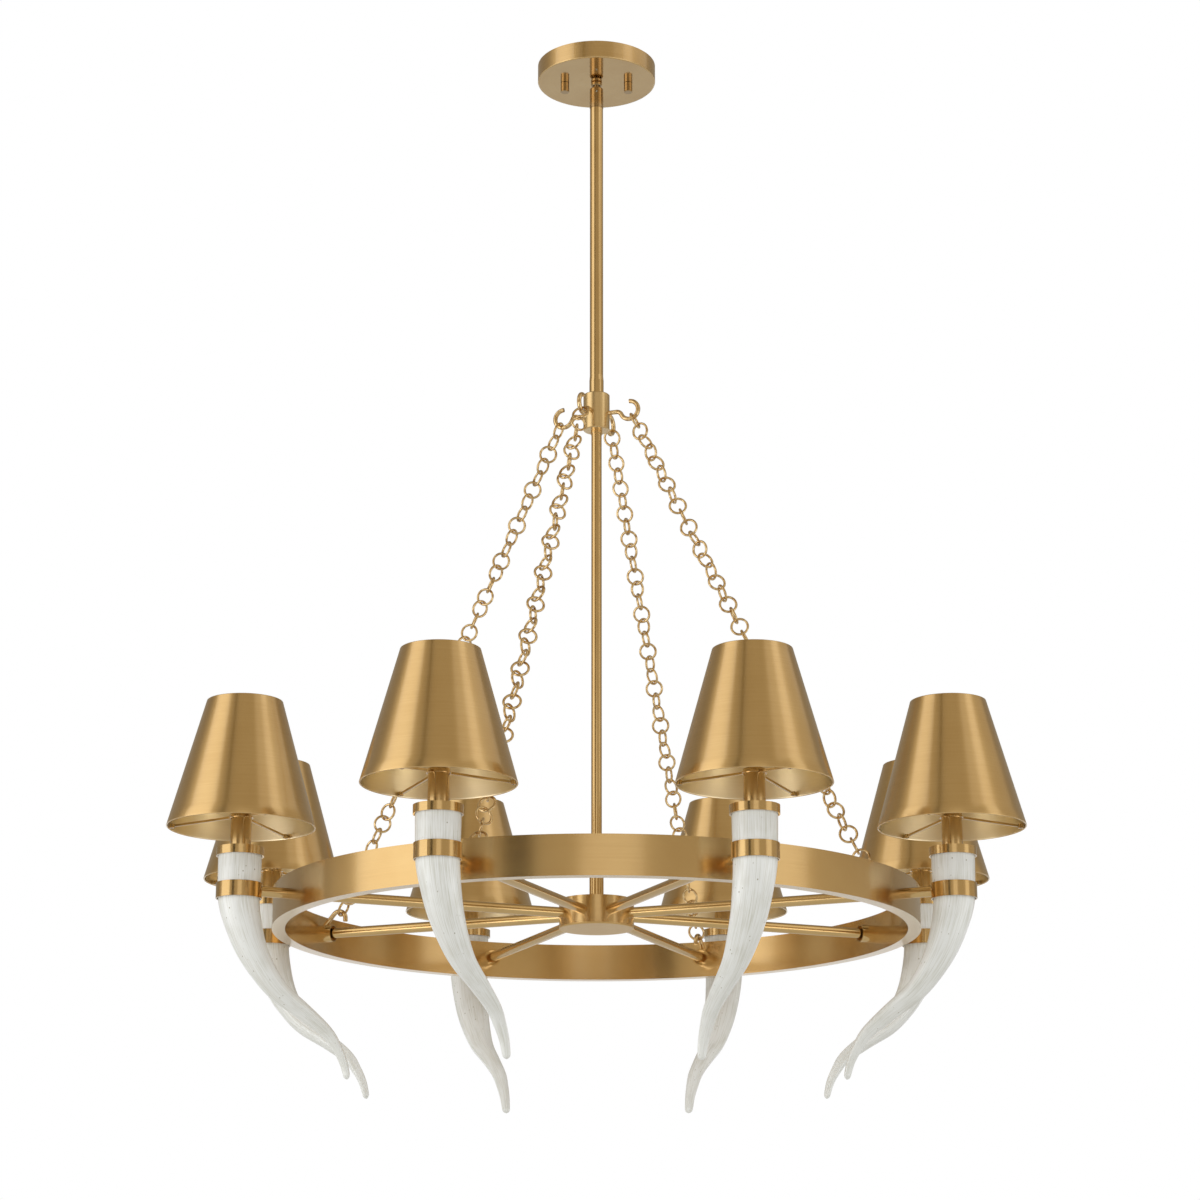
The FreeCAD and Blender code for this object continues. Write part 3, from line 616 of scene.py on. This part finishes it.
class Finish(Enum):
    """Every finish of the chandelier."""

    # Ring and hub, turned and brushed round: lamps show as broad upright bands.
    TURNED_BRASS = BrushedBrass("brushed_brass_turned", Brushing.AROUND_FIXTURE, roughness=0.23)
    # Canopy, spun, its face polished last: soft bands on the rim, an even reflection below.
    POLISHED_BRASS = BrushedBrass("polished_brass_spun", Brushing.AROUND_FIXTURE, bright="D6B780",
                                  deep="C8A469", roughness=0.36, scratch_depth=0.002 * MM,
                                  lacquer_roughness=0.03, face_roughness=0.12)
    # Cover of the hub, spun to a satin under a thin lacquer: an even glow with no bands.
    SATIN_BRASS = BrushedBrass("satin_brass_spun", Brushing.AROUND_FIXTURE, roughness=0.45, anisotropy=0.1,
                               lacquer=0.2)
    # Collar, turned and lightly brushed: a paler glow with hardly a line.
    COLLAR_BRASS = BrushedBrass("satin_brass_turned", Brushing.AROUND_FIXTURE, bright="E3C896",
                                deep="D8BA84", roughness=0.3, anisotropy=0.4, lacquer=0.5)
    # Rods and couplings, drawn: sharp lights down their length. The lines are far coarser than real ones.
    TUBE_BRASS = BrushedBrass("satin_brass_drawn", Brushing.ALONG_ROD, line_width=2.5 * MM, finer_lines=0.0,
                              scratch_depth=0.0005 * MM, roughness=0.17, anisotropy=0.0, lacquer=1.0,
                              lacquer_roughness=0.1)
    # Knobs and swivel, drawn like the rods: the rods' brass in darker colours, painted shade for how dimly
    # these parts show.
    SHADED_TUBE_BRASS = replace(TUBE_BRASS, name="shaded_brass_drawn", bright="AD9161", deep="A28250")
    # Bands, caps and candle sleeves, turned on a lathe: narrow bright lights.
    LIGHT_BRASS = BrushedBrass("brushed_brass_lights", Brushing.AROUND_LIGHT, scratch_depth=0.004 * MM,
                               roughness=0.2)
    # Shades, spun and brushed round: two soft bands down the cone.
    SHADE_BRASS = BrushedBrass("brushed_brass_spun", Brushing.AROUND_PIECE, roughness=0.29, anisotropy=0.6)
    # Lining of the shades, brushed under a thin lacquer: a wide pale glow.
    LINING = BrushedBrass("brushed_brass_lining", Brushing.AROUND_PIECE, bright="F5E6C4", deep="EEDCB6",
                          anisotropy=0.3, lacquer=0.3)
    # Spokes, arms and barrels, drawn: a bright light and a dark line down their length.
    SPOKE_BRASS = BrushedBrass("brushed_brass_drawn", Brushing.ALONG_SPOKE, scratch_depth=0.002 * MM,
                               roughness=0.19, anisotropy=0.0, lacquer=0.5, lacquer_roughness=0.05)
    WIRE_BRASS = TumbledBrass("tumbled_brass_wire")
    ZINC = ZincPlatedSteel("zinc_plated_steel")
    PHENOLIC = MouldedPhenolic("moulded_phenolic")
    RESIN = WhitewashedResin("whitewashed_resin")

    @property
    def material(self) -> Material:
        """The finish as a Blender material."""
        return self.value.material()


def new_piece(name: str, shape: BMesh, materials: Iterable[Material]) -> bpy.types.Object:
    """Turns built geometry into an object of the scene.

    Args:
        name: the piece's name.
        shape: the geometry, about its own origin. It is freed here.
        materials: the piece's materials, by their numbers.

    Returns:
        The new piece.
    """
    mesh = bpy.data.meshes.new(name)
    shape.to_mesh(mesh)
    shape.free()
    for material in materials:
        mesh.materials.append(material)
    piece = bpy.data.objects.new(name, mesh)
    bpy.context.scene.collection.objects.link(piece)
    return piece


def mesh_piece(name: str, body: str, shape: BMesh, finishes: Sequence[Finish],
               origin: Vector = Vector()) -> bpy.types.Object:
    """Makes a smooth-shaded piece of the fixture that rides on a body.

    Args:
        name: the piece's name.
        body: the CAD body that it rides on.
        shape: the geometry, about its own origin. It is freed here.
        finishes: the piece's finishes, by their material numbers.
        origin: where the piece's origin lies in the frame.

    Returns:
        The new piece.
    """
    bmesh.ops.recalc_face_normals(shape, faces=shape.faces)
    piece = new_piece(name, shape, (finish.material for finish in finishes))
    piece.data.shade_smooth()
    piece.location = origin
    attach(piece, body)
    return piece


def ring_of(shape: BMesh, points: Iterable[Vector]) -> list[BMVert]:
    """Adds a row of points to a shape."""
    return [shape.verts.new(point) for point in points]


def bridge(shape: BMesh, row: Sequence[BMVert], after: Sequence[BMVert], material: int = 0) -> None:
    """Joins two closed rows of points by a band of four-sided faces.

    Args:
        shape: the shape that gets the faces.
        row: one row.
        after: the other, with as many points.
        material: material number of the faces.
    """
    for number, corner in enumerate(row):
        other = (number + 1) % len(row)
        face = shape.faces.new((corner, row[other], after[other], after[number]))
        face.material_index = material


def turned(outline: Outline, sides: int) -> BMesh:
    """Turns a closed outline about Z.

    Args:
        outline: radius, height and material number of each point, round the section.
        sides: number of steps round the axis.

    Returns:
        The turned shape.
    """
    shape = bmesh.new()
    steps = [2 * math.pi * step / sides for step in range(sides)]
    rows = [ring_of(shape, (Vector((radius * math.cos(turn), radius * math.sin(turn), height))
                            for turn in steps)) for radius, height, _ in outline]
    for number, row in enumerate(rows):
        bridge(shape, row, rows[(number + 1) % len(rows)], outline[number][2])
    return shape


@dataclass
class MetalWork:
    """The metal and plastic of the CAD model that is shown as it is, with a finish for each node."""

    WORN: ClassVar[dict[Finish, tuple[str, ...]]] = {
        Finish.TURNED_BRASS: ("hub_body", "ring"),
        Finish.COLLAR_BRASS: ("hook_collar",),
        Finish.TUBE_BRASS: ("upper_rod", "rod_coupling", "collar_bushing", "lower_rod", "foot_sleeve"),
        Finish.SHADED_TUBE_BRASS: ("canopy_knob_left", "canopy_knob_right", "swivel_stem", "swivel_sleeve"),
        Finish.POLISHED_BRASS: ("canopy",),
        Finish.SATIN_BRASS: ("hub_cover",),
        Finish.LIGHT_BRASS: ("horn_bands", "horn_caps", "candle_sleeves", "shade_spiders",
                             "shade_clamp_rings"),
        Finish.SPOKE_BRASS: ("spoke_barrels", "horn_arms",
                             *(f"spoke_{number + 1}" for number in range(len(LIGHTS.axes)))),
        Finish.WIRE_BRASS: ("upper_hooks", "lower_hooks"),
        Finish.ZINC: ("mounting_strap", "canopy_studs", "stud_nuts", "swivel_lock_nut", "swivel_cross",
                      "rod_nipples", "ring_stud_tubes", "candle_nipples"),
        Finish.PHENOLIC: ("lamp_holders",),
    }

    def dress(self) -> None:
        """Gives every shown CAD node its finish."""
        for finish, names in self.WORN.items():
            for name in names:
                for slot in frame["nodes"][name].material_slots:
                    slot.material = finish.material
                log.info("dressed %s in %s", name, finish.value.name)


@dataclass
class SwivelBall:
    """Domed top of the ball that the rod swings on, seen inside the sleeve's mouth.

    Args:
        radius: radius of the ball about the pivot, a little under the sleeve's bore.
        wall: thickness of the dome.
        neck_radius: radius of the neck that it grows from.
        skirt: height over the pivot where the dome ends, clear of the cross in every tilt.
        steps: steps up the dome.
        sides: steps round it.
    """

    radius: float = 6.75 * MM
    wall: float = 0.5 * MM
    neck_radius: float = 2.9 * MM
    skirt: float = 3.6 * MM
    steps: int = 8
    sides: int = 48

    def build(self) -> None:
        """Builds the dome about the pivot, on the half that is fixed to the canopy."""
        pivot = Vector(next(joint["pos_m"] for joint in frame["record"]["behaviour"]["joints"]
                            if joint["name"] == "swivel_tilt_side"))
        outline = []
        for radius, order in ((self.radius, 1), (self.radius - self.wall, -1)):
            low, high = math.asin(self.skirt / radius), math.acos(self.neck_radius / radius)
            arc = [low + (high - low) * step / self.steps for step in range(self.steps + 1)]
            outline += [(radius * math.cos(turn), radius * math.sin(turn), 0) for turn in arc[::order]]
        mesh_piece("swivel_ball", "ceiling_mount", turned(outline, self.sides),
                   (Finish.TUBE_BRASS,), pivot)
        log.info("swivel ball built")


@dataclass
class Chain:
    """One chain of round wire links, each in the place of its CAD link.

    Args:
        number: the chain's number, from 1.
        wire_radius: radius of the wire.
        steps_round: points round a link.
        steps_wire: points round the wire.
        seam_pinch: share by which the wire thins where its two ends were closed together.
        seam_width: share of the link's round that the pinch takes.
        seam_turn: share of a turn that the seam moves on from one link to the next.
        weld: distance within which two points of the CAD mesh are one.
    """

    number: int
    wire_radius: float = 1.35 * MM
    steps_round: int = 30
    steps_wire: int = 10
    seam_pinch: float = 0.16
    seam_width: float = 0.03
    seam_turn: float = 0.381966
    weld: float = 0.01 * MM

    def cad_links(self) -> list[np.ndarray]:
        """Finds the separate links of the CAD chain.

        Returns:
            The corner points of each link, from the top link down.
        """
        shape = bmesh.new()
        shape.from_mesh(frame["nodes"][f"chain_{self.number}"].data)
        bmesh.ops.remove_doubles(shape, verts=shape.verts, dist=self.weld)
        seen = set()
        links = []
        for first in shape.verts:
            if first in seen:
                continue
            seen.add(first)
            grown = [first]
            members = []
            while grown:
                vertex = grown.pop()
                members.append(vertex.co[:])
                for edge in vertex.link_edges:
                    other = edge.other_vert(vertex)
                    if other not in seen:
                        seen.add(other)
                        grown.append(other)
            links.append(np.array(members))
        shape.free()
        return sorted(links, key=lambda points: -points[:, 2].mean())

    def add_link(self, shape: BMesh, points: np.ndarray, number: int) -> None:
        """Adds one smooth link round the middle of a CAD link.

        Args:
            shape: the chain's geometry.
            points: the CAD link's corner points.
            number: the link's number, which places its seam.
        """
        middle = points.mean(axis=0)
        spread = points - middle
        _, axes = np.linalg.eigh(spread.T @ spread)
        normal, side = Vector(axes[:, 0]), Vector(axes[:, 1])
        ahead = normal.cross(side)
        radius = float(np.linalg.norm(spread, axis=1).max()) - self.wire_radius
        seam = 2 * math.pi * ((number * self.seam_turn) % 1.0)
        rows = []
        for step in range(self.steps_round):
            turn = 2 * math.pi * step / self.steps_round
            away = abs((turn - seam + math.pi) % (2 * math.pi) - math.pi) / (2 * math.pi * self.seam_width)
            wire = self.wire_radius * (1 - self.seam_pinch * max(0.0, 1 - away))
            out = side * math.cos(turn) + ahead * math.sin(turn)
            centre = Vector(middle) + out * radius
            laps = [2 * math.pi * lap / self.steps_wire for lap in range(self.steps_wire)]
            rows.append(ring_of(shape, (centre + (out * math.cos(lap) + normal * math.sin(lap)) * wire
                                        for lap in laps)))
        for place, row in enumerate(rows):
            bridge(shape, row, rows[(place + 1) % len(rows)])

    def build(self) -> None:
        """Builds the chain and hides its CAD node."""
        shape = bmesh.new()
        links = self.cad_links()
        for number, points in enumerate(links):
            self.add_link(shape, points, number)
        piece = mesh_piece(f"chain_links_{self.number}", BODY, shape, (Finish.WIRE_BRASS,))
        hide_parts(f"chain_{self.number}")
        log.info("chain %d: %d links", self.number, len(links))


def through(values: Sequence[float], place: float) -> float:
    """Reads a smooth curve through values that stand at the stations 0, 1, 2 and so on.

    Args:
        values: the curve's value at each station.
        place: where to read it.

    Returns:
        The value of a cubic curve whose slopes come from the neighbouring stations.
    """
    last = len(values) - 1
    low = min(max(math.floor(place), 0), last - 1)

    def slope(number: int) -> float:
        """Slope of the curve at a station."""
        before, after = max(number - 1, 0), min(number + 1, last)
        return (values[after] - values[before]) / (after - before)

    share = place - low
    square, cube = share ** 2, share ** 3
    return ((2 * cube - 3 * square + 1) * values[low] + (cube - 2 * square + share) * slope(low)
            + (3 * square - 2 * cube) * values[low + 1] + (cube - square) * slope(low + 1))


def rise(place: float, span: tuple[float, float]) -> float:
    """Share that grows from 0 at the span's start to 1 at its end."""
    return min(1.0, max(0.0, (place - span[0]) / (span[1] - span[0])))


@dataclass
class Horn:
    """One cast horn, which drops straight from its cap and then curls in and thins to a rounded tip.

    The four tables hold its middle line, as shares of reach and drop, and its half widths in its own upright
    plane and across it, as shares of the top's radius, at each station from the top to the tip.

    Args:
        number: the horn's number, from 1.
        axis: the point of its light's axis at the socket.
        turn: angle of the horn's plane from +X.
        ring_middle: height of the ring's middle.
        top_radius: radius under the cap.
        reach: how far the tip comes in from the light's axis.
        drop: how far the tip hangs below the ring's middle.
        rings: sections down the horn.
        sides: points round a section.
        aim_span: stations each way over which the middle line's direction is taken.
        ridge: how much the lower half narrows to a ridge on each side.
        ridge_span: stations where the ridge starts and where it is full.
        tip_round: stations that the rounded tip takes.
        tip_gap: stations by which the last section stays short of the tip, so that it has some width.
        unevenness: share by which the cast surface swells and dips.
        uneven_size: size of the swellings in metres.
        uneven_span: stations where they start, below the band, and where they are full.
        uneven_shift: how far the pattern moves on from one horn to the next.
    """

    REACH_SHARES: ClassVar[tuple[float, ...]] = (
        0, 0, 0, 0, 0.005, 0.04, 0.11, 0.215, 0.37, 0.61, 0.81, 0.9, 0.955, 0.985, 1)
    DROP_SHARES: ClassVar[tuple[float, ...]] = (
        -0.228, -0.17, -0.11, -0.02, 0.07, 0.17, 0.3, 0.42, 0.54, 0.65, 0.75, 0.83, 0.895, 0.955, 1)
    PLANE_SHARES: ClassVar[tuple[float, ...]] = (
        0.985, 0.985, 0.98, 0.965, 0.92, 0.845, 0.73, 0.61, 0.5, 0.395, 0.305, 0.245, 0.205, 0.175, 0.15)
    CROSS_SHARES: ClassVar[tuple[float, ...]] = (
        0.985, 0.985, 0.98, 0.965, 0.95, 0.92, 0.86, 0.765, 0.635, 0.5, 0.395, 0.32, 0.265, 0.225, 0.195)
    LAST: ClassVar[int] = len(REACH_SHARES) - 1

    number: int
    axis: Vector
    turn: float
    ring_middle: float
    top_radius: float = 22.6 * MM
    reach: float = 128 * MM
    drop: float = 184.5 * MM
    rings: int = 110
    sides: int = 48
    aim_span: float = 0.05
    ridge: float = 0.32
    ridge_span: tuple[float, float] = (4, 9)
    tip_round: float = 0.6
    tip_gap: float = 0.004
    unevenness: float = 0.012
    uneven_size: float = 22 * MM
    uneven_span: tuple[float, float] = (4.5, 6.5)
    uneven_shift: float = 7.3

    def middle(self, place: float) -> Vector:
        """Middle of the horn at a place, in its own upright plane, from the ring's middle."""
        return Vector((-self.reach * through(self.REACH_SHARES, place), 0,
                       -self.drop * through(self.DROP_SHARES, place)))

    def section(self, place: float) -> list[Vector]:
        """Points round the horn at a place.

        Args:
            place: station number, with shares in between.

        Returns:
            Points of one section, pinched to a ridge on both sides in the lower half.
        """
        low, high = max(place - self.aim_span, 0.0), min(place + self.aim_span, float(self.LAST))
        level = Vector((0, 1, 0))
        across = level.cross((self.middle(high) - self.middle(low)).normalized()).normalized()
        into_tip = max(0.0, (place - self.LAST + self.tip_round) / self.tip_round)
        scale = self.top_radius * math.sqrt(max(0.0, 1 - into_tip ** 2))
        in_plane = scale * through(self.PLANE_SHARES, place)
        cross = scale * through(self.CROSS_SHARES, place)
        pinch = 1 + self.ridge * rise(place, self.ridge_span)
        points = []
        for side in range(self.sides):
            turn = 2 * math.pi * side / self.sides
            shares = [math.copysign(abs(part) ** pinch, part) for part in (math.cos(turn), math.sin(turn))]
            points.append(self.middle(place) + across * (in_plane * shares[0])
                          + level * (cross * shares[1]))
        return points

    def swell(self, point: Vector, middle: Vector, place: float) -> Vector:
        """Moves a surface point in by the casting's slow unevenness, none where the cap and band sit.

        Args:
            point: the surface point.
            middle: middle of its section.
            place: station number of its section.

        Returns:
            The moved point.
        """
        shift = Vector((self.number * self.uneven_shift, 0, 0))
        amount = noise.noise(point / self.uneven_size + shift) - 1
        return point + (point - middle) * (amount * self.unevenness * rise(place, self.uneven_span))

    def build(self) -> None:
        """Builds the horn with its straight-grain attribute and hides its CAD node."""
        shape = bmesh.new()
        grain = shape.verts.layers.float_vector.new(GRAIN)
        places = [self.LAST * share / (self.rings - 1) for share in range(self.rings)]
        rows = []
        length = 0.0
        before = self.middle(0)
        turn_in = Matrix.Rotation(self.turn, 4, "Z")
        foot = Vector((self.axis.x, self.axis.y, 0))
        for place in (min(place, self.LAST - self.tip_gap) for place in places):
            middle = self.middle(place)
            length += (middle - before).length
            before = middle
            row = []
            for side, point in enumerate(self.section(place)):
                turn = 2 * math.pi * side / self.sides
                moved = self.swell(point, middle, place) + Vector((0, 0, self.ring_middle))
                vertex = shape.verts.new(turn_in @ moved + foot)
                vertex[grain] = Vector((math.cos(turn) * self.top_radius, math.sin(turn) * self.top_radius,
                                        length + self.number))
                row.append(vertex)
            rows.append(row)
        for row, after in zip(rows, rows[1:]):
            bridge(shape, row, after)
        shape.faces.new(rows[0])
        shape.faces.new(rows[-1])
        piece = mesh_piece(f"cast_horn_{self.number}", BODY, shape, (Finish.RESIN,))
        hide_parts(f"horn_{self.number}")
        log.info("horn %d: %.0f mm long", self.number, length / MM)


@dataclass
class Shade:
    """One tapered metal shade with a rolled hem at both edges and a paler brushed lining.

    Args:
        number: the shade's number, from 1.
        axis: the point of its light's axis at the socket.
        sheet: thickness of the metal.
        hem: radius of the rolled hem.
        lining_gap: distance from a hem's middle to the lining's edge, in hem radii.
        sides: steps round the shade.
        hem_steps: steps round a hem.
        wall_steps: steps up the wall.
        edge: how near to the CAD shade's end a point is to count as on it.
    """

    number: int
    axis: Vector
    sheet: float = 0.8 * MM
    hem: float = 0.7 * MM
    lining_gap: float = 1.6
    sides: int = 144
    hem_steps: int = 8
    wall_steps: int = 12
    edge: float = 0.1 * MM

    def measure(self) -> tuple[float, float, float, float]:
        """Measures the CAD shade.

        Returns:
            Its bottom and top heights, and its outer radii there.
        """
        low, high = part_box(f"shade_{self.number}")
        points = [vertex.co for vertex in frame["nodes"][f"shade_{self.number}"].data.vertices]
        reach = [max((point.xy - self.axis.xy).length for point in points if abs(point.z - level) < self.edge)
                 for level in (low.z, high.z)]
        return low.z, high.z, reach[0], reach[1]

    def outline(self) -> Outline:
        """Draws the shade's section.

        Returns:
            Outer wall up, top hem, lining down and bottom hem, as radius, height and material number.
        """
        bottom, top, wide, narrow = self.measure()
        slope = (wide - narrow) / (top - bottom)
        low, high = bottom + self.hem, top - self.hem

        def wall(height: float) -> float:
            """Outer radius of the wall at a height."""
            return wide - slope * (height - bottom)

        def curl(level: float, start: float, steps: int) -> Outline:
            """Rolls a hem from one face of the wall towards the other.

            Args:
                level: height of the hem's middle.
                start: angle at which the hem starts.
                steps: points of the hem.

            Returns:
                The hem's part of the section.
            """
            turns = [start + math.pi * step / self.hem_steps for step in range(1, steps + 1)]
            centre = wall(level) - self.hem
            return [(centre + self.hem * math.cos(turn), level + self.hem * math.sin(turn), 0)
                    for turn in turns]

        rises = [low + (high - low) * step / self.wall_steps for step in range(self.wall_steps + 1)]
        gap = self.lining_gap * self.hem
        outside = [(wall(level), level, 0) for level in rises]
        lining = [(wall(level) - self.sheet, level, 1) for level in (high - gap, (high + low) / 2, low + gap)]
        return outside + curl(high, 0.0, self.hem_steps) + lining + curl(low, math.pi, self.hem_steps - 1)

    def build(self) -> None:
        """Builds the shade about its own axis and hides its CAD node."""
        piece = mesh_piece(f"tapered_shade_{self.number}", BODY,
                           turned(self.outline(), self.sides), (Finish.SHADE_BRASS, Finish.LINING),
                           Vector((self.axis.x, self.axis.y, 0)))
        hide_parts(f"shade_{self.number}")
        log.info("shade %d built", self.number)


@dataclass
class SoftBox:
    """A tall or wide soft lamp, which the metal shows as a band.

    Args:
        name: the lamp's name.
        azimuth: degrees round from the viewer's side, to the right.
        distance: distance from the fixture's axis.
        height: height of its middle.
        width: its width.
        tall: its height.
        brightness: how bright it shows, where 1 is white.
        lights_matt: whether it lights matt surfaces too, or only shows in gloss.
    """

    name: str
    azimuth: float
    distance: float
    height: float
    width: float
    tall: float
    brightness: float
    lights_matt: bool = True

    def build(self) -> None:
        """Sets the lamp up, facing the fixture."""
        lamp = bpy.data.lights.new(self.name, "AREA")
        lamp.shape = "RECTANGLE"
        lamp.size = self.width
        lamp.size_y = self.tall
        lamp.energy = self.brightness * math.pi * self.width * self.tall
        turn = math.radians(self.azimuth)
        stand = bpy.data.objects.new(self.name, lamp)
        stand.location = (self.distance * math.sin(turn), -self.distance * math.cos(turn), self.height)
        stand.rotation_euler = (math.radians(90), 0, turn)
        stand.visible_camera = False
        stand.visible_diffuse = self.lights_matt
        bpy.context.scene.collection.objects.link(stand)
        log.info("lamp %s set up", self.name)


@dataclass
class Flats:
    """Boards of lit paper in an arc round the set, above the floor's line, that only metal's gloss sees.

    Args:
        name: the boards' name.
        colour: their colour, as it shows in metal.
        start: degrees round from the viewer's side, to the right, where they start.
        end: where they end.
        radius: their distance from the fixture's axis.
        top: height of their top.
        roofed: whether a paper roof closes over them.
        foot: height of their foot.
        roof_rise: how far the roof rises over their top, half way in and at the middle.
        roof_hole: radius of the hole at its middle.
        steps: steps round the arc.
    """

    name: str
    colour: str
    start: float
    end: float
    radius: float
    top: float = 7.0
    roofed: bool = True
    foot: float = -0.75
    roof_rise: tuple[float, float] = (1.0, 1.2)
    roof_hole: float = 0.1
    steps: int = 24

    def build(self) -> None:
        """Stands the boards up."""
        profile = [(self.foot, self.radius), (self.top, self.radius)]
        if self.roofed:
            profile += [(self.top + self.roof_rise[0], self.radius / 2),
                        (self.top + self.roof_rise[1], self.roof_hole)]
        turns = [math.radians(self.start + (self.end - self.start) * step / self.steps)
                 for step in range(self.steps + 1)]
        shape = bmesh.new()
        rows = [ring_of(shape, (Vector((reach * math.sin(turn), -reach * math.cos(turn), height))
                                for turn in turns)) for height, reach in profile]
        for row, after in zip(rows, rows[1:]):
            for step in range(self.steps):
                shape.faces.new((row[step], row[step + 1], after[step + 1], after[step]))
        boards = new_piece(self.name, shape, (LitPaper(self.name, self.colour).material(),))
        boards.visible_camera = False
        boards.visible_diffuse = False
        boards.visible_shadow = False
        log.info("boards %s set up", self.name)


@dataclass
class Studio:
    """Pale room, soft lamps and the camera of the photograph.

    Args:
        focal: lens in mm.
        sensor: width of the camera's sensor in mm.
        camera_place: the camera's place.
        camera_pitch: degrees that the camera looks up.
        shift: small sideways shift of the frame.
        floor_height: height of the floor, under a ceiling at 0.
        floor_reach: half width of the floor.
        fill: how bright the room lights the pale surfaces.
        flats: boards round the set. The two narrow dark ones draw a thin line in the metal.
        boxes: the soft lamps.
    """

    focal: float = 89.87
    sensor: float = 36.0
    camera_place: tuple[float, float, float] = (0.0, -3.1748, -1.5312)
    camera_pitch: float = 15.658
    shift: float = 0.0029
    floor_height: float = -2.4
    floor_reach: float = 9.0
    fill: float = 0.82
    flats: tuple[Flats, ...] = (
        Flats("pale_flats", "BAAD95", -104, 116, 8.0),
        Flats("dark_flats", "968C7B", 116, 256, 8.0),
        Flats("dark_flag", "302517", -27.5, -22.0, 6.5),
        Flats("low_dark_flag", "302517", -31.5, -21.0, 6.37, 1.3, False),
    )
    boxes: tuple[SoftBox, ...] = (
        SoftBox("softbox_left", -66, 3.2, 0.1, 2.5, 4.8, 0.88),
        SoftBox("softbox_right", 64, 3.4, 0.1, 1.2, 4.8, 0.5),
        SoftBox("low_card_left", -60, 2.6, -1.68, 2.4, 0.8, 1.3, False),
        SoftBox("low_card_right", 60, 2.6, -1.68, 2.4, 0.8, 1.2, False),
        SoftBox("reflector_right", 75, 3.6, 3.0, 6.4, 2.8, 0.3),
        SoftBox("window_front", 5, 5.2, -0.35, 1.9, 1.7, 0.45),
    )

    def add_camera(self) -> None:
        """Places the camera where the photograph was taken from."""
        lens = bpy.data.cameras.new("photo_camera")
        lens.lens = self.focal
        lens.sensor_width = self.sensor
        lens.shift_x = self.shift
        camera = bpy.data.objects.new("photo_camera", lens)
        camera.location = self.camera_place
        camera.rotation_euler = (math.radians(90 + self.camera_pitch), 0, 0)
        bpy.context.scene.collection.objects.link(camera)
        bpy.context.scene.camera = camera

    def add_floor(self) -> None:
        """Lays a plain pale floor that takes the object's shadow."""
        shape = bmesh.new()
        corners = (Vector((x * self.floor_reach, y * self.floor_reach, self.floor_height))
                   for x, y in ((-1, -1), (1, -1), (1, 1), (-1, 1)))
        shape.faces.new(ring_of(shape, corners))
        new_piece("studio_floor", shape, (RolledPaint("matt_white_floor").material(),))

    def add_room_light(self) -> None:
        """Makes the room white to the camera and in gloss, and a softer fill for pale surfaces."""
        world = bpy.data.worlds.new("white_room")
        world.use_nodes = True
        tree = world.node_tree
        tree.nodes.clear()
        path = add_node(tree, "LightPath").outputs
        seen = add_node(tree, "Math", (path["Is Camera Ray"], path["Is Glossy Ray"]), operation="MAXIMUM")
        seen = add_node(tree, "Math", (seen, path["Is Transmission Ray"]), operation="MAXIMUM")
        level = add_node(tree, "MapRange", (seen, 0, 1, self.fill, 1))
        glow = add_node(tree, "Background", ((1, 1, 1, 1), level))
        add_node(tree, "OutputWorld", (glow,))
        bpy.context.scene.world = world

    def build(self) -> None:
        """Sets up the room, the lamps and the camera."""
        bpy.context.scene.view_settings.view_transform = "Standard"
        self.add_camera()
        self.add_floor()
        for flats in self.flats:
            flats.build()
        self.add_room_light()
        for box in self.boxes:
            box.build()


@dataclass
class Chandelier:
    """The whole fixture: its shown metal, the chains, and a horn and a shade at each light.

    Args:
        horn_yaws: degrees that each horn is turned about its own top, as photographed.
        chains: number of chains.
    """

    horn_yaws: tuple[float, ...] = (3.0, 1.0, 0.0, -3.0, 9.0, -7.5, 0.0, -10.0)
    chains: int = 4

    def build(self) -> None:
        """Builds and dresses every piece in order."""
        MetalWork().dress()
        SwivelBall().build()
        for number in range(self.chains):
            Chain(number + 1).build()
        ring_low, ring_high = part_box("ring")
        ring_middle = (ring_low.z + ring_high.z) / 2
        for number, (axis, yaw) in enumerate(zip(LIGHTS.axes, self.horn_yaws)):
            Horn(number + 1, axis, LIGHTS.angle(number) + math.radians(yaw), ring_middle).build()
            Shade(number + 1, axis).build()


def main() -> None:
    """Builds the studio and the chandelier."""
    logging.basicConfig(level=logging.INFO, format="%(name)s: %(message)s")
    Studio().build()
    Chandelier().build()


if __name__ == "__main__":
    main()
